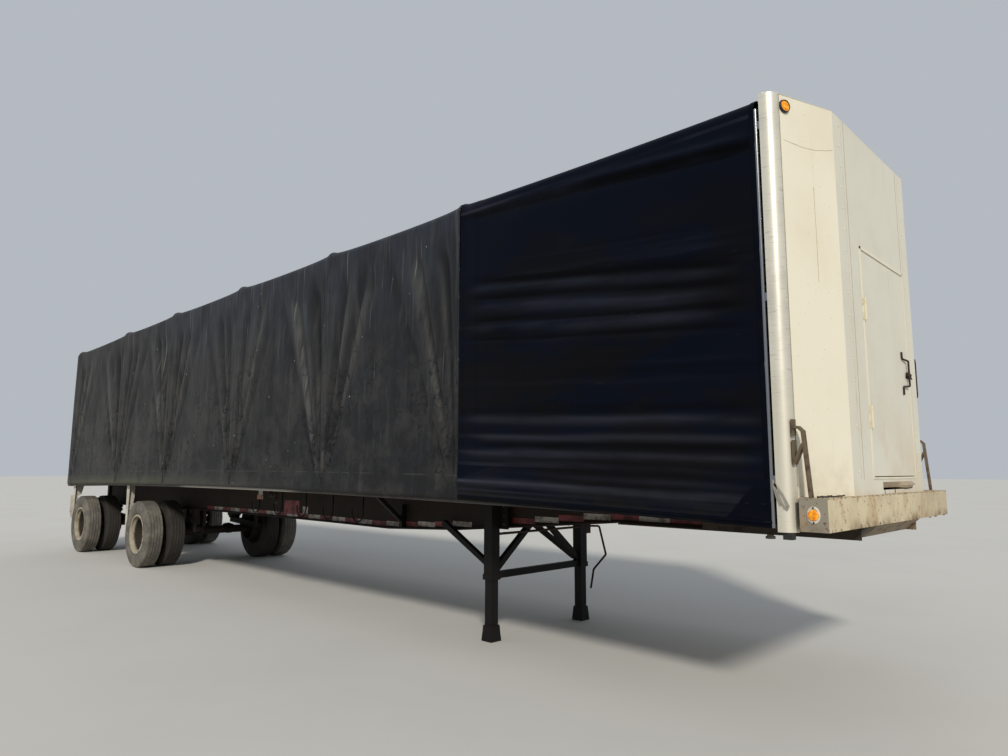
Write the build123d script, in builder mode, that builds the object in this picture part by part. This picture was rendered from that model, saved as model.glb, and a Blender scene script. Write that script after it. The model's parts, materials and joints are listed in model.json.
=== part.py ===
from build123d import *
import os
from math import cos, hypot, radians, sin, sqrt

os.makedirs("parts", exist_ok=True)

# A spread-axle flatbed semi trailer with a sliding tarpaulin cover and a nosed headboard.
# Millimetres. X points forward, Y to the left side, Z up from the ground; the origin lies on
# the ground under the middle of the deck. Places along the deck are stations, measured back
# from the face of the front rail.

# Overall sizes
body_length = 14630
deck_height = 1400
deck_camber = 75
seat = 0.3

# Deck edge: side rail, slide track outside it, and the cover outside both
rail_half_width = 1235
rail_height = 130
rail_flange = 115
rail_lip = 68
rail_wall = 8
rail_flange_thickness = 10
rail_foot_lap = 90
track_width = 59.7
track_height = 75
track_drop = 175
track_wall = 8
track_floor = 12
cover_half_width = 1311
cover_rise = 2485
cover_drop = 148
cover_thickness = 8
cover_corner_radius = 90

# Deck
floor_thickness = 30
floor_groove_width = 12
floor_groove_depth = 6
floor_groove_count = 7
crossmember_height = 76
crossmember_flange = 45
crossmember_wall = 5
crossmember_count = 24
crossmember_first = 600
crossmember_rear_gap = 300

# Main beams
beam_spacing = 1040
beam_flange_width = 130
beam_flange_thickness = 14
beam_web = 8
beam_front_station = 160.3
beam_rear_gap = 100
beam_depth = 565
neck_end_station = 5000
# station, depth of the underside below the deck
neck_depths = ((1900, 270), (2800, 353), (3850, 444))

# Coupler
coupler_half_width = 606
coupler_thickness = 10
coupler_front_station = 130
coupler_rear_station = 1900
ramp_front_station = 20
ramp_top_half_width = 450
ramp_foot_half_width = 500
flank_front_station = 57
flank_rear_station = 1150
kingpin_station = 910
kingpin_radius = 25.4
kingpin_neck_radius = 36.5
kingpin_flange_radius = 95
kingpin_flange_thickness = 12
kingpin_neck_length = 30
kingpin_waist_length = 35
kingpin_head_length = 19

# End rails
front_rail_depth = 160
ledge_end_station = 230
front_rail_height = 190
end_rail_half_width = 1295
end_rail_wall = 10
rear_sill_depth = 80
rear_sill_height = 190

# Headboard
headboard_rise = 2500
headboard_thickness = 35
nose_station = 30
nose_half_width = 765
corner_station = 190
post_half_width = 1305
post_radius = 70
post_width = 80
post_depth = 95
post_wall = 6
post_drop = 200
door_right = -360
door_width = 920
door_lift = 120
door_height = 1525
door_gap = 6
hinge_radius = 9
hinge_pin_radius = 4
hinge_length = 150
hinge_pin_clearance = 0.5
hinge_leaf = 34
hinge_leaf_thickness = 4
hinge_lifts = (390, 1118)
hub_lift = 750
hub_inset = 38
hub_radius = 26
hub_length = 22
handle_rod_radius = 7
handle_rod_reach = 115
handle_rod_lift = 12
handle_rod_rise = 166
handle_bend_rise = 116
handle_bend_drop = 82
handle_rod_drop = 155
foot_cut_right = -200
foot_cut_left = 470
foot_cut_height = 80
cap_thickness = 4
buffer_length = 55
buffer_width = 50
buffer_height = 42
buffer_inset = 20

# Latches that pull the cover tight
latch_bracket_lift = 405
latch_bracket_length = 95
latch_bracket_width = 40
latch_spacing = 143
latch_lower_length = 140
latch_thickness = 14
latch_bar_width = 44
latch_bar_station = 100
latch_offset = 1262
latch_knee_reach = 62
latch_knee_bend = 24

# Cover frame
inner_bow_stations = (3070, 5230, 7420, 9650, 11790)
last_bow_inset = 165
bow_width = 40
bow_gap = 0.6
bow_post_depth = 38
bow_roof_depth = 40
bow_joint_drop = 145
carriage_length = 160
carriage_gap = 3
tension_pipe_radius = 16
tension_pipe_drop = 178
pipe_lug_lifts = (100, 1200, 2300)
pipe_lug_height = 50
front_cover_station = 330
cover_split_station = 3050
cover_rear_gap = 24
roof_rear_inset = 2

# Landing gear
leg_station = 3290
leg_offset = 660
leg_tube = 104
leg_inner_tube = 86
leg_housing_bottom = 545
leg_collar = 118
leg_collar_height = 50
leg_drop = 150
foot_width = 130
foot_height = 140
foot_taper = 24
leg_plate_length = 300
leg_plate_height = 340
brace_size = 50
brace_foot_height = 625
rear_brace_station = 4040
rear_brace_drop = 400
lateral_brace_drop = 280
tie_bar_height = 582
tie_bar_size = 60
leg_overlap = 200
shaft_drop = 440
shaft_radius = 12
shaft_shift = 38
gearbox_depth = 70
gearbox_height = 150
crank_reach = 120
crank_drop = 300
crank_swing = 160
crank_handle = 200
crank_radius = 11

# Running gear
axle_insets = (("front", 3890), ("rear", 860))
sides = (("right", -1), ("left", 1))
tyre_radius = 520
tyre_half_width = 140
tread_half_width = 112
tyre_shoulder_radius = 496
bead_radius = 290
bead_top_radius = 309
bead_half_width = 105
tyre_widest_radius = 405
dual_spacing = 340
outer_tyre_offset = 1155
rim_flange_radius = 306
rim_flange_width = 8
rim_wall = 9
rim_drop_radius = 258
rim_drop_half_width = 55
disc_thickness = 11
disc_face_radius = 178
disc_bore_radius = 110.5
hand_hole_radius = 28
hand_hole_circle = 214
hand_hole_count = 10
drum_radius = 208
drum_inner_offset = 590
drum_length = 200
drum_wall = 16
hub_barrel_radius = 75
hub_end_gap = 6
hub_flange_radius = 170
hub_flange_thickness = 18
hub_cap_radius = 62
hub_cap_length = 120
axle_radius = 63.5
axle_half_length = 585
spindle_radius = 42
spindle_end = 1040

# Suspension
hanger_lead = 560
hanger_length = 190
hanger_bottom = 545
hanger_half_width = 60
hanger_wall = 10
pivot_height = 605
pivot_radius = 22
arm_width = 76
arm_height = 90
arm_tail = 480
arm_tail_height = 655
saddle_length = 150
spring_seat_thickness = 12
air_spring_radius = 118
air_spring_neck_radius = 88
air_spring_seat_radius = 94
air_spring_lag = 390
brake_chamber_radius = 82
brake_chamber_length = 190
brake_chamber_offset = 330
chamber_bracket = 50
clamp_ring = 9
tank_radius = 120
tank_length = 880
tank_dome = 60
tank_dome_bulge = 48
tank_dome_bulge_radius = 72
tank_strap = 40
tank_leads = (2240, 1890)
tank_drop = 390

# Mud flaps, bumper, hooks and struts
flap_lag = 640
flap_width = 530
flap_thickness = 8
flap_bottom = 280
flap_drop = 420
flap_offset = 950
flap_plate_top = 130
flap_plate_foot = 60
flap_plate_bottom = 590
flap_plate_thickness = 8
flap_bar = 40
flap_bar_drop = 20
bumper_inset = 50
bumper_height = 500
bumper_bar = 90
bumper_half_width = 1150
hook_stations = (4610, 5170, 5720, 6260, 6820)
hook_offset = 1190
hook_drop = 375
hook_width = 200
hook_tip_rise = 125
hook_rod_radius = 7
winch_station = 6480
winch_length = 110
winch_width = 60
winch_height = 120
winch_plate = 8
winch_drum = 24
side_lamp_station = 6750
side_lamp_length = 100
side_lamp_offset = 1215
side_lamp_drop = 210
strut_station = 4780
strut_size = 50
strut_top_offset = 1010
strut_drop = 415
stiffener_height = 240
stiffener_lift = 70
panel_lamp_inset = 43
panel_lamp_drop = 76
lamp_radius = 32
lamp_depth = 16
tail_lamp_radius = 52
tail_lamp_depth = 10
tail_lamp_offsets = (1120, 960, 800)

# Values worked out from those above
half_length = body_length / 2
camber_radius = (half_length**2 + deck_camber**2) / (2 * deck_camber)
rail_inner = rail_half_width - rail_flange
track_half_width = rail_half_width + seat + track_width
track_base = deck_height - track_drop
frame_top = deck_height - floor_thickness - crossmember_height
beam_offset = beam_spacing / 2
cover_top = deck_height + cover_rise
cover_hem = deck_height - cover_drop
cover_inner = cover_half_width - cover_thickness
crossmember_last = body_length - crossmember_rear_gap
beam_rear_station = body_length - beam_rear_gap
cover_rear_station = body_length - cover_rear_gap
bumper_station = body_length - bumper_inset
bow_stations = (*inner_bow_stations, body_length - last_bow_inset)
axle_stations = [(name, body_length - inset) for name, inset in axle_insets]
tank_stations = [axle_stations[0][1] - lead for lead in tank_leads]
beam_under_height = deck_height - beam_depth
neck_points = [(station, deck_height - depth) for station, depth in neck_depths]
headboard_top = deck_height + headboard_rise
panel_lamp_height = headboard_top - panel_lamp_drop
post_bottom = deck_height - post_drop
door_bottom = deck_height + door_lift
hinge_heights = [door_bottom + lift for lift in hinge_lifts]
hub_height = door_bottom + hub_lift
handle_rod_top = hub_height + handle_rod_rise
handle_rod_bend_top = hub_height + handle_bend_rise
handle_rod_bend_foot = hub_height - handle_bend_drop
handle_rod_foot = hub_height - handle_rod_drop
latch_bracket_height = deck_height + latch_bracket_lift
latch_lower_height = latch_bracket_height - latch_spacing
tension_pipe_bottom = deck_height - tension_pipe_drop
pipe_lug_heights = [deck_height + lift for lift in pipe_lug_lifts]
leg_top = deck_height - leg_drop
rear_brace_top = deck_height - rear_brace_drop
lateral_brace_top = deck_height - lateral_brace_drop
shaft_height = deck_height - shaft_drop
tank_height = deck_height - tank_drop
flap_top = deck_height - flap_drop
flap_bar_height = flap_top - flap_bar_drop
hook_bottom = deck_height - hook_drop
hook_tip_height = hook_bottom + hook_tip_rise
side_lamp_height = deck_height - side_lamp_drop
strut_foot_height = deck_height - strut_drop
inner_tyre_offset = outer_tyre_offset - dual_spacing
dual_middle = (outer_tyre_offset + inner_tyre_offset) / 2


def at(station):
    """X of a station measured back from the face of the front rail."""
    return half_length - station


def rise(x):
    """Height that the cambered deck gains at x over its two ends."""
    return sqrt(camber_radius**2 - x**2) - camber_radius + deck_camber


def on_camber(x, height):
    """Point of a side view at x, on the cambered line that starts at height at the deck's ends."""
    return (x, height + rise(x))


def side_plane(y):
    """Side view plane at y: local x is X, local y is Z, and extrusions run to the right side."""
    return Plane.XZ.offset(-y)


def arched_band(front, rear, low, high):
    """Sketch the strip between two arched lines from one station to another."""
    x_front, x_rear = at(front), at(rear)
    middle = (x_front + x_rear) / 2
    with BuildSketch() as band:
        with BuildLine():
            lower = ThreePointArc(on_camber(x_front, low), on_camber(middle, low), on_camber(x_rear, low))
            upper = ThreePointArc(on_camber(x_front, high), on_camber(middle, high), on_camber(x_rear, high))
            Line(lower @ 0, upper @ 0)
            Line(lower @ 1, upper @ 1)
        make_face()
    return band.sketch


def arched_strip(front, rear, low, high, y_one, y_two):
    """Solid between two arched lines and two side planes."""
    with BuildSketch(side_plane(max(y_one, y_two))) as profile:
        add(arched_band(front, rear, low, high))
    extrude(profile.sketch, amount=abs(y_two - y_one))


def flat_bar(start, end, width, thickness):
    """Flat bar from start to end in a side view, its width measured across the trailer."""
    path = Vector(*end) - Vector(*start)
    with BuildSketch(Plane(origin=start, x_dir=(0, 1, 0), z_dir=path)) as profile:
        Rectangle(width, thickness)
    extrude(profile.sketch, amount=path.length)


def bent_bar(points, width, thickness):
    """Flat bar along straight runs in a side view, with mitred turns."""
    with BuildLine() as path:
        Polyline(*points)
    direction = Vector(*points[1]) - Vector(*points[0])
    with BuildSketch(Plane(origin=points[0], x_dir=(0, 1, 0), z_dir=direction)) as section:
        Rectangle(width, thickness)
    sweep(sections=section.sketch, path=path.wires()[0], transition=Transition.RIGHT)


def rod_through(points, radius):
    """Round rod swept along straight runs with rounded turns."""
    with BuildLine() as path:
        FilletPolyline(*points, radius=2 * radius)
    with BuildSketch(Plane(origin=points[0], z_dir=Vector(*points[1]) - Vector(*points[0]))) as section:
        Circle(radius)
    sweep(sections=section.sketch, path=path.wires()[0])


def save(part, name):
    """Label a finished piece and write it to its own file."""
    part.label = name
    export_step(part, f"parts/{name}.step")


# Main beams: two cambered I-beams whose underside climbs to the gooseneck
def beam_outline(inset, overrun):
    """Side outline of a beam, drawn in by inset at top and underside and run past its ends."""
    front, rear = beam_front_station - overrun, beam_rear_station + overrun
    x_front, x_neck, x_rear = at(front), at(neck_end_station), at(rear)
    x_mid = (x_neck + x_rear) / 2
    top, low = frame_top - inset, beam_under_height + inset
    with BuildSketch() as outline:
        with BuildLine():
            ThreePointArc(on_camber(x_front, top), on_camber(0, top), on_camber(x_rear, top))
            Polyline(
                on_camber(x_front, top),
                (x_front, neck_points[0][1] + inset),
                *[(at(station), height + inset) for station, height in neck_points],
                on_camber(x_neck, low),
            )
            ThreePointArc(on_camber(x_neck, low), on_camber(x_mid, low), on_camber(x_rear, low))
            Line(on_camber(x_rear, low), on_camber(x_rear, top))
        make_face()
    return outline.sketch


with BuildPart() as main_beams:
    for _, side in sides:
        with BuildSketch(side_plane(side * beam_offset)):
            add(beam_outline(0, 0))
        extrude(amount=beam_flange_width / 2, both=True)
    for _, side in sides:
        for flank in (-1, 1):
            pocket = (beam_flange_width - beam_web) / 2
            pocket_middle = side * beam_offset + flank * (beam_web + pocket + 1) / 2
            with BuildSketch(side_plane(pocket_middle)):
                add(beam_outline(beam_flange_thickness, 1))
            extrude(amount=(pocket + 1) / 2, both=True, mode=Mode.SUBTRACT)
save(main_beams.part, "main_beams")


# Crossmembers: channels lying across the beams and tucked into the side rails
crossmember_half = rail_half_width - rail_wall - seat
crossmember_pitch = (crossmember_last - crossmember_first) / (crossmember_count - 1)
crossmember_stations = [crossmember_first + crossmember_pitch * i for i in range(crossmember_count)]

with BuildPart() as crossmembers:
    for station in crossmember_stations:
        x = at(station)
        slope = x / camber_radius
        plane = Plane(
            origin=(x, 0, deck_height - floor_thickness - crossmember_height / 2 + rise(x)),
            x_dir=(cos(slope), 0, -sin(slope)),
            z_dir=(0, -1, 0),
        )
        with BuildSketch(plane):
            Rectangle(crossmember_flange, crossmember_height - 2 * seat)
            with Locations((crossmember_wall, 0)):
                Rectangle(crossmember_flange, crossmember_height - 2 * crossmember_wall, mode=Mode.SUBTRACT)
        extrude(amount=crossmember_half, both=True)
save(crossmembers.part, "crossmembers")


# Deck floor: one arched plank floor with sawn grooves between its planks
floor_half = rail_inner - seat
floor_front = ledge_end_station + seat
floor_rear = body_length - rear_sill_depth - seat

with BuildPart() as deck_floor:
    floor_under = deck_height - floor_thickness
    arched_strip(floor_front, floor_rear, floor_under, deck_height, -floor_half, floor_half)
    groove_foot = deck_height - floor_groove_depth
    for i in range(floor_groove_count):
        groove_y = floor_half * (2 * (i + 1) / (floor_groove_count + 1) - 1)
        with BuildSketch(side_plane(groove_y)):
            add(arched_band(floor_front - 1, floor_rear + 1, groove_foot, deck_height + 1))
        extrude(amount=floor_groove_width / 2, both=True, mode=Mode.SUBTRACT)
save(deck_floor.part, "deck_floor")


# Side rails: channels that close the deck's edges, with a foot at the front beside each post
rail_front = corner_station + post_depth + seat
rail_rear = body_length - rear_sill_depth - seat
foot_outer = post_half_width - post_width - seat

with BuildPart() as side_rails:
    for _, side in sides:
        low, top = deck_height - rail_height, deck_height
        flange = rail_flange_thickness
        web_inner = side * (rail_half_width - rail_wall)
        arched_strip(rail_front, rail_rear, low, top, web_inner, side * rail_half_width)
        arched_strip(rail_front, rail_rear, top - flange, top, side * rail_inner, web_inner)
        lip_inner = side * (rail_half_width - rail_lip)
        arched_strip(rail_front, rail_rear, low, low + flange, lip_inner, web_inner)
        foot_front, foot_rear = front_rail_depth + seat, rail_front + rail_foot_lap
        foot_near, foot_far = side * rail_inner, side * foot_outer
        arched_strip(foot_front, rail_front, low, top - 2 * flange, foot_near, foot_far)
        arched_strip(rail_front, foot_rear, low, top, foot_near, foot_far)
save(side_rails.part, "side_rails")


# Slide tracks: grooved tracks along the rails, in which the bow carriages run
track_inner = rail_half_width + seat
track_front = front_cover_station + seat

with BuildPart() as slide_tracks:
    for _, side in sides:
        near, far = side * track_inner, side * track_half_width
        arched_strip(track_front, rail_rear, track_base, track_base + track_floor, near, far)
        for wall_start in (near, far - side * track_wall):
            wall_end = wall_start + side * track_wall
            arched_strip(track_front, rail_rear, track_base, track_base + track_height, wall_start, wall_end)
save(slide_tracks.part, "slide_tracks")


# Front rail and rear sill: channels across the ends of the frame
def end_channel(front, rear, height, open_forward):
    """Channel across the trailer between two stations, its open side forward or back."""
    with BuildSketch(side_plane(0)) as profile:
        with Locations(((at(front) + at(rear)) / 2, deck_height - height / 2)):
            Rectangle(rear - front, height)
        shift = end_rail_wall if open_forward else -end_rail_wall
        with Locations(((at(front) + at(rear)) / 2 + shift, deck_height - height / 2)):
            Rectangle(rear - front, height - 2 * end_rail_wall, mode=Mode.SUBTRACT)
    extrude(profile.sketch, amount=end_rail_half_width, both=True)


with BuildPart() as front_rail:
    end_channel(0, front_rail_depth, front_rail_height, False)
    for _, side in sides:
        with BuildSketch(side_plane(side * (end_rail_half_width - end_rail_wall / 2))):
            with Locations((at(front_rail_depth / 2), deck_height - front_rail_height / 2)):
                Rectangle(front_rail_depth, front_rail_height)
        extrude(amount=end_rail_wall / 2, both=True)
    with Locations((at(ledge_end_station / 2), 0, deck_height - end_rail_wall / 2)):
        Box(ledge_end_station, 2 * foot_outer, end_rail_wall)
save(front_rail.part, "front_rail")

with BuildPart() as rear_sill:
    end_channel(body_length - rear_sill_depth, body_length, rear_sill_height, True)
    rear_centre = (at(body_length), 0, deck_height - rear_sill_height / 2)
    rear_face = Plane(origin=rear_centre, x_dir=(0, 1, 0), z_dir=(-1, 0, 0))
    with BuildSketch(rear_face):
        for offset_y in tail_lamp_offsets:
            with Locations((offset_y, 0), (-offset_y, 0)):
                Circle(tail_lamp_radius + seat)
    extrude(amount=-end_rail_wall, mode=Mode.SUBTRACT)
save(rear_sill.part, "rear_sill")


# Lamps
with BuildPart() as tail_lamps:
    with BuildSketch(rear_face.offset(-end_rail_wall)):
        for offset_y in tail_lamp_offsets:
            with Locations((offset_y, 0), (-offset_y, 0)):
                Circle(tail_lamp_radius)
    extrude(amount=tail_lamp_depth)
save(tail_lamps.part, "tail_lamps")

rail_lamp_height = deck_height - front_rail_height / 2
panel_outer = post_half_width - post_width - seat
panel_length = hypot(corner_station - nose_station, panel_outer - nose_half_width)
panel_sine = (corner_station - nose_station) / panel_length
panel_cosine = (panel_outer - nose_half_width) / panel_length

with BuildPart() as marker_lamps:
    for _, side in sides:
        with BuildSketch(side_plane(side * (end_rail_half_width + seat))):
            with Locations((at(front_rail_depth / 2), rail_lamp_height)):
                Circle(lamp_radius)
        extrude(amount=-side * (lamp_depth - seat))
        lamp_x = at(corner_station) + panel_lamp_inset * panel_sine
        lamp_y = side * (panel_outer - panel_lamp_inset * panel_cosine)
        panel_normal = (panel_cosine, side * panel_sine, 0)
        panel_face = Plane(origin=(lamp_x, lamp_y, panel_lamp_height), z_dir=panel_normal)
        with BuildSketch(panel_face.offset(seat)):
            Circle(lamp_radius)
        extrude(amount=lamp_depth)
save(marker_lamps.part, "marker_lamps")


# Coupler plate with a sloping front ramp and a flank plate on each side, and the kingpin below it
coupler_top = neck_points[0][1] - seat
coupler_bottom = coupler_top - coupler_thickness
ramp_top = deck_height - front_rail_height - seat
coupler_x = at(coupler_front_station)
ramp_x = at(ramp_front_station)

with BuildPart() as coupler_plate:
    with BuildSketch(side_plane(0)):
        with BuildLine():
            Polyline(
                (ramp_x, ramp_top),
                (coupler_x, coupler_bottom),
                (at(coupler_rear_station), coupler_bottom),
                (at(coupler_rear_station), coupler_top),
                (coupler_x - coupler_thickness / 2, coupler_top),
                (ramp_x - coupler_thickness, ramp_top),
                close=True,
            )
        make_face()
    extrude(amount=coupler_half_width, both=True)
    for _, side in sides:
        with BuildSketch(Plane(origin=(ramp_x + 1, 0, 0), x_dir=(0, 1, 0), z_dir=(-1, 0, 0))):
            with BuildLine():
                Polyline(
                    (-side * (coupler_half_width + 1), coupler_bottom - 1),
                    (-side * (coupler_half_width + 1), ramp_top + 1),
                    (-side * ramp_top_half_width, ramp_top + 1),
                    (-side * ramp_foot_half_width, coupler_bottom - 1),
                    close=True,
                )
            make_face()
        extrude(amount=coupler_front_station - ramp_front_station + 1, mode=Mode.SUBTRACT)
        with BuildSketch(side_plane(side * (coupler_half_width - coupler_thickness / 2))):
            with BuildLine():
                Polyline(
                    (at(flank_front_station), ramp_top),
                    (at(flank_front_station), coupler_bottom),
                    (at(flank_rear_station), coupler_bottom),
                    (at(flank_rear_station), ramp_top),
                    close=True,
                )
            make_face()
        extrude(amount=coupler_thickness / 2, both=True)
    with BuildSketch(Plane.XY.offset(coupler_bottom)):
        with Locations((at(kingpin_station), 0)):
            Circle(kingpin_neck_radius + seat)
    extrude(amount=coupler_thickness, mode=Mode.SUBTRACT)
save(coupler_plate.part, "coupler_plate")

kingpin_x = at(kingpin_station)
kingpin_flange_foot = coupler_top + seat
kingpin_waist_top = coupler_bottom - kingpin_neck_length
kingpin_waist_foot = kingpin_waist_top - kingpin_waist_length
kingpin_tip = kingpin_waist_foot - kingpin_head_length

with BuildPart() as kingpin:
    with BuildSketch(side_plane(0)):
        with BuildLine():
            Polyline(
                (kingpin_x, kingpin_flange_foot + kingpin_flange_thickness),
                (kingpin_x + kingpin_flange_radius, kingpin_flange_foot + kingpin_flange_thickness),
                (kingpin_x + kingpin_flange_radius, kingpin_flange_foot),
                (kingpin_x + kingpin_neck_radius, kingpin_flange_foot),
                (kingpin_x + kingpin_neck_radius, kingpin_waist_top),
                (kingpin_x + kingpin_radius, kingpin_waist_top),
                (kingpin_x + kingpin_radius, kingpin_waist_foot),
                (kingpin_x + kingpin_neck_radius, kingpin_waist_foot),
                (kingpin_x + kingpin_neck_radius, kingpin_tip),
                (kingpin_x, kingpin_tip),
                close=True,
            )
        make_face()
    revolve(axis=Axis((kingpin_x, 0, 0), (0, 0, 1)))
save(kingpin.part, "kingpin")


# Headboard: a nosed wall of a centre panel and two slanted side panels between rounded posts
wall_bottom = deck_height + seat
wall_height = headboard_top - wall_bottom
nose_x = at(nose_station)
post_front = at(corner_station)
post_inner = post_half_width - post_width

with BuildPart() as corner_posts:
    for _, side in sides:
        with BuildSketch(Plane.XY.offset(post_bottom)):
            with BuildLine():
                x_back = post_front - post_depth
                y_out = side * post_half_width
                x_arc = post_front - post_radius
                y_arc = side * (post_half_width - post_radius)
                diagonal = post_radius * sin(radians(45))
                Line((post_front, side * post_inner), (post_front, y_arc))
                y_in = side * post_inner
                arc_middle = (x_arc + diagonal, y_arc + side * diagonal)
                ThreePointArc((post_front, y_arc), arc_middle, (x_arc, y_out))
                Polyline((x_arc, y_out), (x_back, y_out), (x_back, y_in), (post_front, y_in))
            make_face()
            offset(amount=-post_wall, mode=Mode.SUBTRACT)
        extrude(amount=headboard_top - post_bottom)
save(corner_posts.part, "corner_posts")

with BuildPart() as headboard_sides:
    for _, side in sides:
        with BuildSketch(Plane.XY.offset(wall_bottom)):
            with BuildLine():
                Polyline(
                    (nose_x, side * (nose_half_width + seat)),
                    (post_front, side * panel_outer),
                    (post_front - headboard_thickness, side * panel_outer),
                    (nose_x - headboard_thickness, side * (nose_half_width + seat)),
                    close=True,
                )
            make_face()
        extrude(amount=wall_height)
save(headboard_sides.part, "headboard_sides")

door_left = door_right + door_width
door_top = door_bottom + door_height
door_centre_y = (door_right + door_left) / 2
door_centre_z = (door_bottom + door_top) / 2
nose_face = Plane(origin=(nose_x, 0, 0), x_dir=(0, 1, 0), z_dir=(1, 0, 0))

with BuildPart() as headboard_front:
    with BuildSketch(nose_face):
        with Locations((0, (wall_bottom + headboard_top) / 2)):
            Rectangle(2 * nose_half_width, wall_height)
        with Locations((door_centre_y, door_centre_z)):
            Rectangle(door_width + 2 * door_gap, door_height + 2 * door_gap, mode=Mode.SUBTRACT)
        with Locations(((foot_cut_right + foot_cut_left) / 2, wall_bottom + foot_cut_height / 2)):
            Rectangle(foot_cut_left - foot_cut_right, foot_cut_height, mode=Mode.SUBTRACT)
    extrude(amount=-headboard_thickness)
save(headboard_front.part, "headboard_front")

with BuildPart() as post_buffers:
    for _, side in sides:
        buffer_y = side * (post_half_width - buffer_inset - buffer_width / 2)
        with Locations((post_front - post_depth / 2, buffer_y, post_bottom - seat - buffer_height / 2)):
            Box(buffer_length, buffer_width, buffer_height)
save(post_buffers.part, "post_buffers")

with BuildPart() as headboard_cap:
    with BuildSketch(Plane.XY.offset(headboard_top + seat)):
        with BuildLine():
            cap_side = [
                (nose_x, nose_half_width),
                (post_front, post_half_width - post_radius),
                (post_front - post_radius, post_half_width),
                (post_front - post_depth, post_half_width),
            ]
            Polyline(*cap_side, *[(x, -y) for x, y in reversed(cap_side)], close=True)
        make_face()
    extrude(amount=cap_thickness)
save(headboard_cap.part, "headboard_cap")


# Door in the headboard, hung on two barrel hinges at its right edge
hinge_x = nose_x + hinge_radius
hinge_y = door_right - door_gap / 2
barrel_length = hinge_length / 3
leaf_reach = hinge_leaf + door_gap / 2

with BuildPart() as access_door:
    with BuildSketch(nose_face):
        with Locations((door_centre_y, door_centre_z)):
            Rectangle(door_width, door_height)
    extrude(amount=-headboard_thickness)
save(access_door.part, "access_door")


def hinge_barrel(z_low, length, side, bore):
    """One knuckle of a hinge with its leaf lying on the face of the headboard or door."""
    z_middle = z_low + length / 2
    with BuildSketch(Plane.XY.offset(z_low)) as barrel:
        with Locations((hinge_x, hinge_y)):
            Circle(hinge_radius)
    extrude(barrel.sketch, amount=length)
    with BuildSketch(nose_face.offset(seat)) as leaf:
        with Locations((hinge_y + side * leaf_reach / 2, z_middle)):
            Rectangle(leaf_reach, length)
    extrude(leaf.sketch, amount=hinge_leaf_thickness)
    if bore:
        with BuildSketch(Plane.XY.offset(z_low)) as hole:
            with Locations((hinge_x, hinge_y)):
                Circle(hinge_pin_radius + hinge_pin_clearance)
        extrude(hole.sketch, amount=length, mode=Mode.SUBTRACT)


with BuildPart() as hinge_frame_leaves:
    for height in hinge_heights:
        low = height - hinge_length / 2
        hinge_barrel(low, barrel_length - seat, -1, False)
        hinge_barrel(low + 2 * barrel_length + seat, barrel_length - seat, -1, False)
        with BuildSketch(Plane.XY.offset(low)):
            with Locations((hinge_x, hinge_y)):
                Circle(hinge_pin_radius)
        extrude(amount=hinge_length)
save(hinge_frame_leaves.part, "hinge_frame_leaves")

with BuildPart() as hinge_door_leaves:
    for height in hinge_heights:
        hinge_barrel(height - barrel_length / 2, barrel_length, 1, True)
save(hinge_door_leaves.part, "hinge_door_leaves")

# Door handle: a hub on the door's face with a rod through it, cranked twice
hub_y = door_left - hub_inset

with BuildPart() as door_handle:
    end_x = nose_x + handle_rod_radius + seat
    end_y = hub_y - handle_rod_reach
    grip_x = end_x + handle_rod_lift
    rod_points = (
        (end_x, end_y, handle_rod_top),
        (end_x, end_y, handle_rod_bend_top),
        (grip_x, hub_y, handle_rod_bend_top - handle_rod_radius),
        (grip_x, hub_y, handle_rod_bend_foot),
        (end_x, end_y, handle_rod_bend_foot - handle_rod_lift),
        (end_x, end_y, handle_rod_foot),
    )
    rod_through(rod_points, handle_rod_radius)
    with BuildSketch(nose_face.offset(seat)):
        with Locations((hub_y, hub_height)):
            Circle(hub_radius)
    extrude(amount=hub_length)
save(door_handle.part, "door_handle")


# Cover latches on the posts: two brackets, a bent link and a long bar down to the front rail
with BuildPart() as cover_latches:
    for _, side in sides:
        y_latch = side * latch_offset
        bracket_x = post_front + latch_thickness / 2 + seat
        knee_x = post_front + latch_knee_reach
        knee_foot = latch_bracket_height - latch_knee_bend
        elbow = (knee_x, y_latch, latch_bracket_height - latch_bracket_length)
        link_foot = (bracket_x, y_latch, latch_lower_height - latch_lower_length / 2)
        for height, length in (
            (latch_bracket_height, latch_bracket_length),
            (latch_lower_height, latch_lower_length),
        ):
            with Locations((bracket_x, y_latch, height)):
                Box(latch_thickness, latch_bracket_width, length)
        bar_points = (
            (bracket_x, y_latch, latch_bracket_height),
            (knee_x - latch_knee_bend, y_latch, latch_bracket_height),
            (knee_x, y_latch, knee_foot),
            (at(latch_bar_station), y_latch, deck_height + 1),
        )
        bent_bar(bar_points, latch_bar_width, latch_thickness)
        flat_bar(elbow, link_foot, latch_bar_width, latch_thickness)
save(cover_latches.part, "cover_latches")


# Cover frame: bows on carriages that slide in the tracks, and tension pipes at the front edge
carriage_top = track_base + track_height + carriage_gap
slot_inner = track_inner + track_wall
slot_outer = track_half_width - track_wall

with BuildPart() as bow_carriages:
    for station in bow_stations:
        x = at(station)
        for _, side in sides:
            width = slot_outer - slot_inner - 2 * carriage_gap
            floor_rise = max(rise(x - carriage_length / 2), rise(x + carriage_length / 2))
            low = track_base + track_floor + seat + floor_rise
            with BuildSketch(Plane.XY.offset(low)):
                with Locations((x, side * (slot_inner + slot_outer) / 2)):
                    Rectangle(carriage_length, width)
            extrude(amount=carriage_top + rise(x) - low)
save(bow_carriages.part, "bow_carriages")

bow_half_width = cover_inner - bow_gap
bow_top = cover_top - cover_thickness - bow_gap
bow_joint = cover_top - bow_joint_drop

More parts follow.
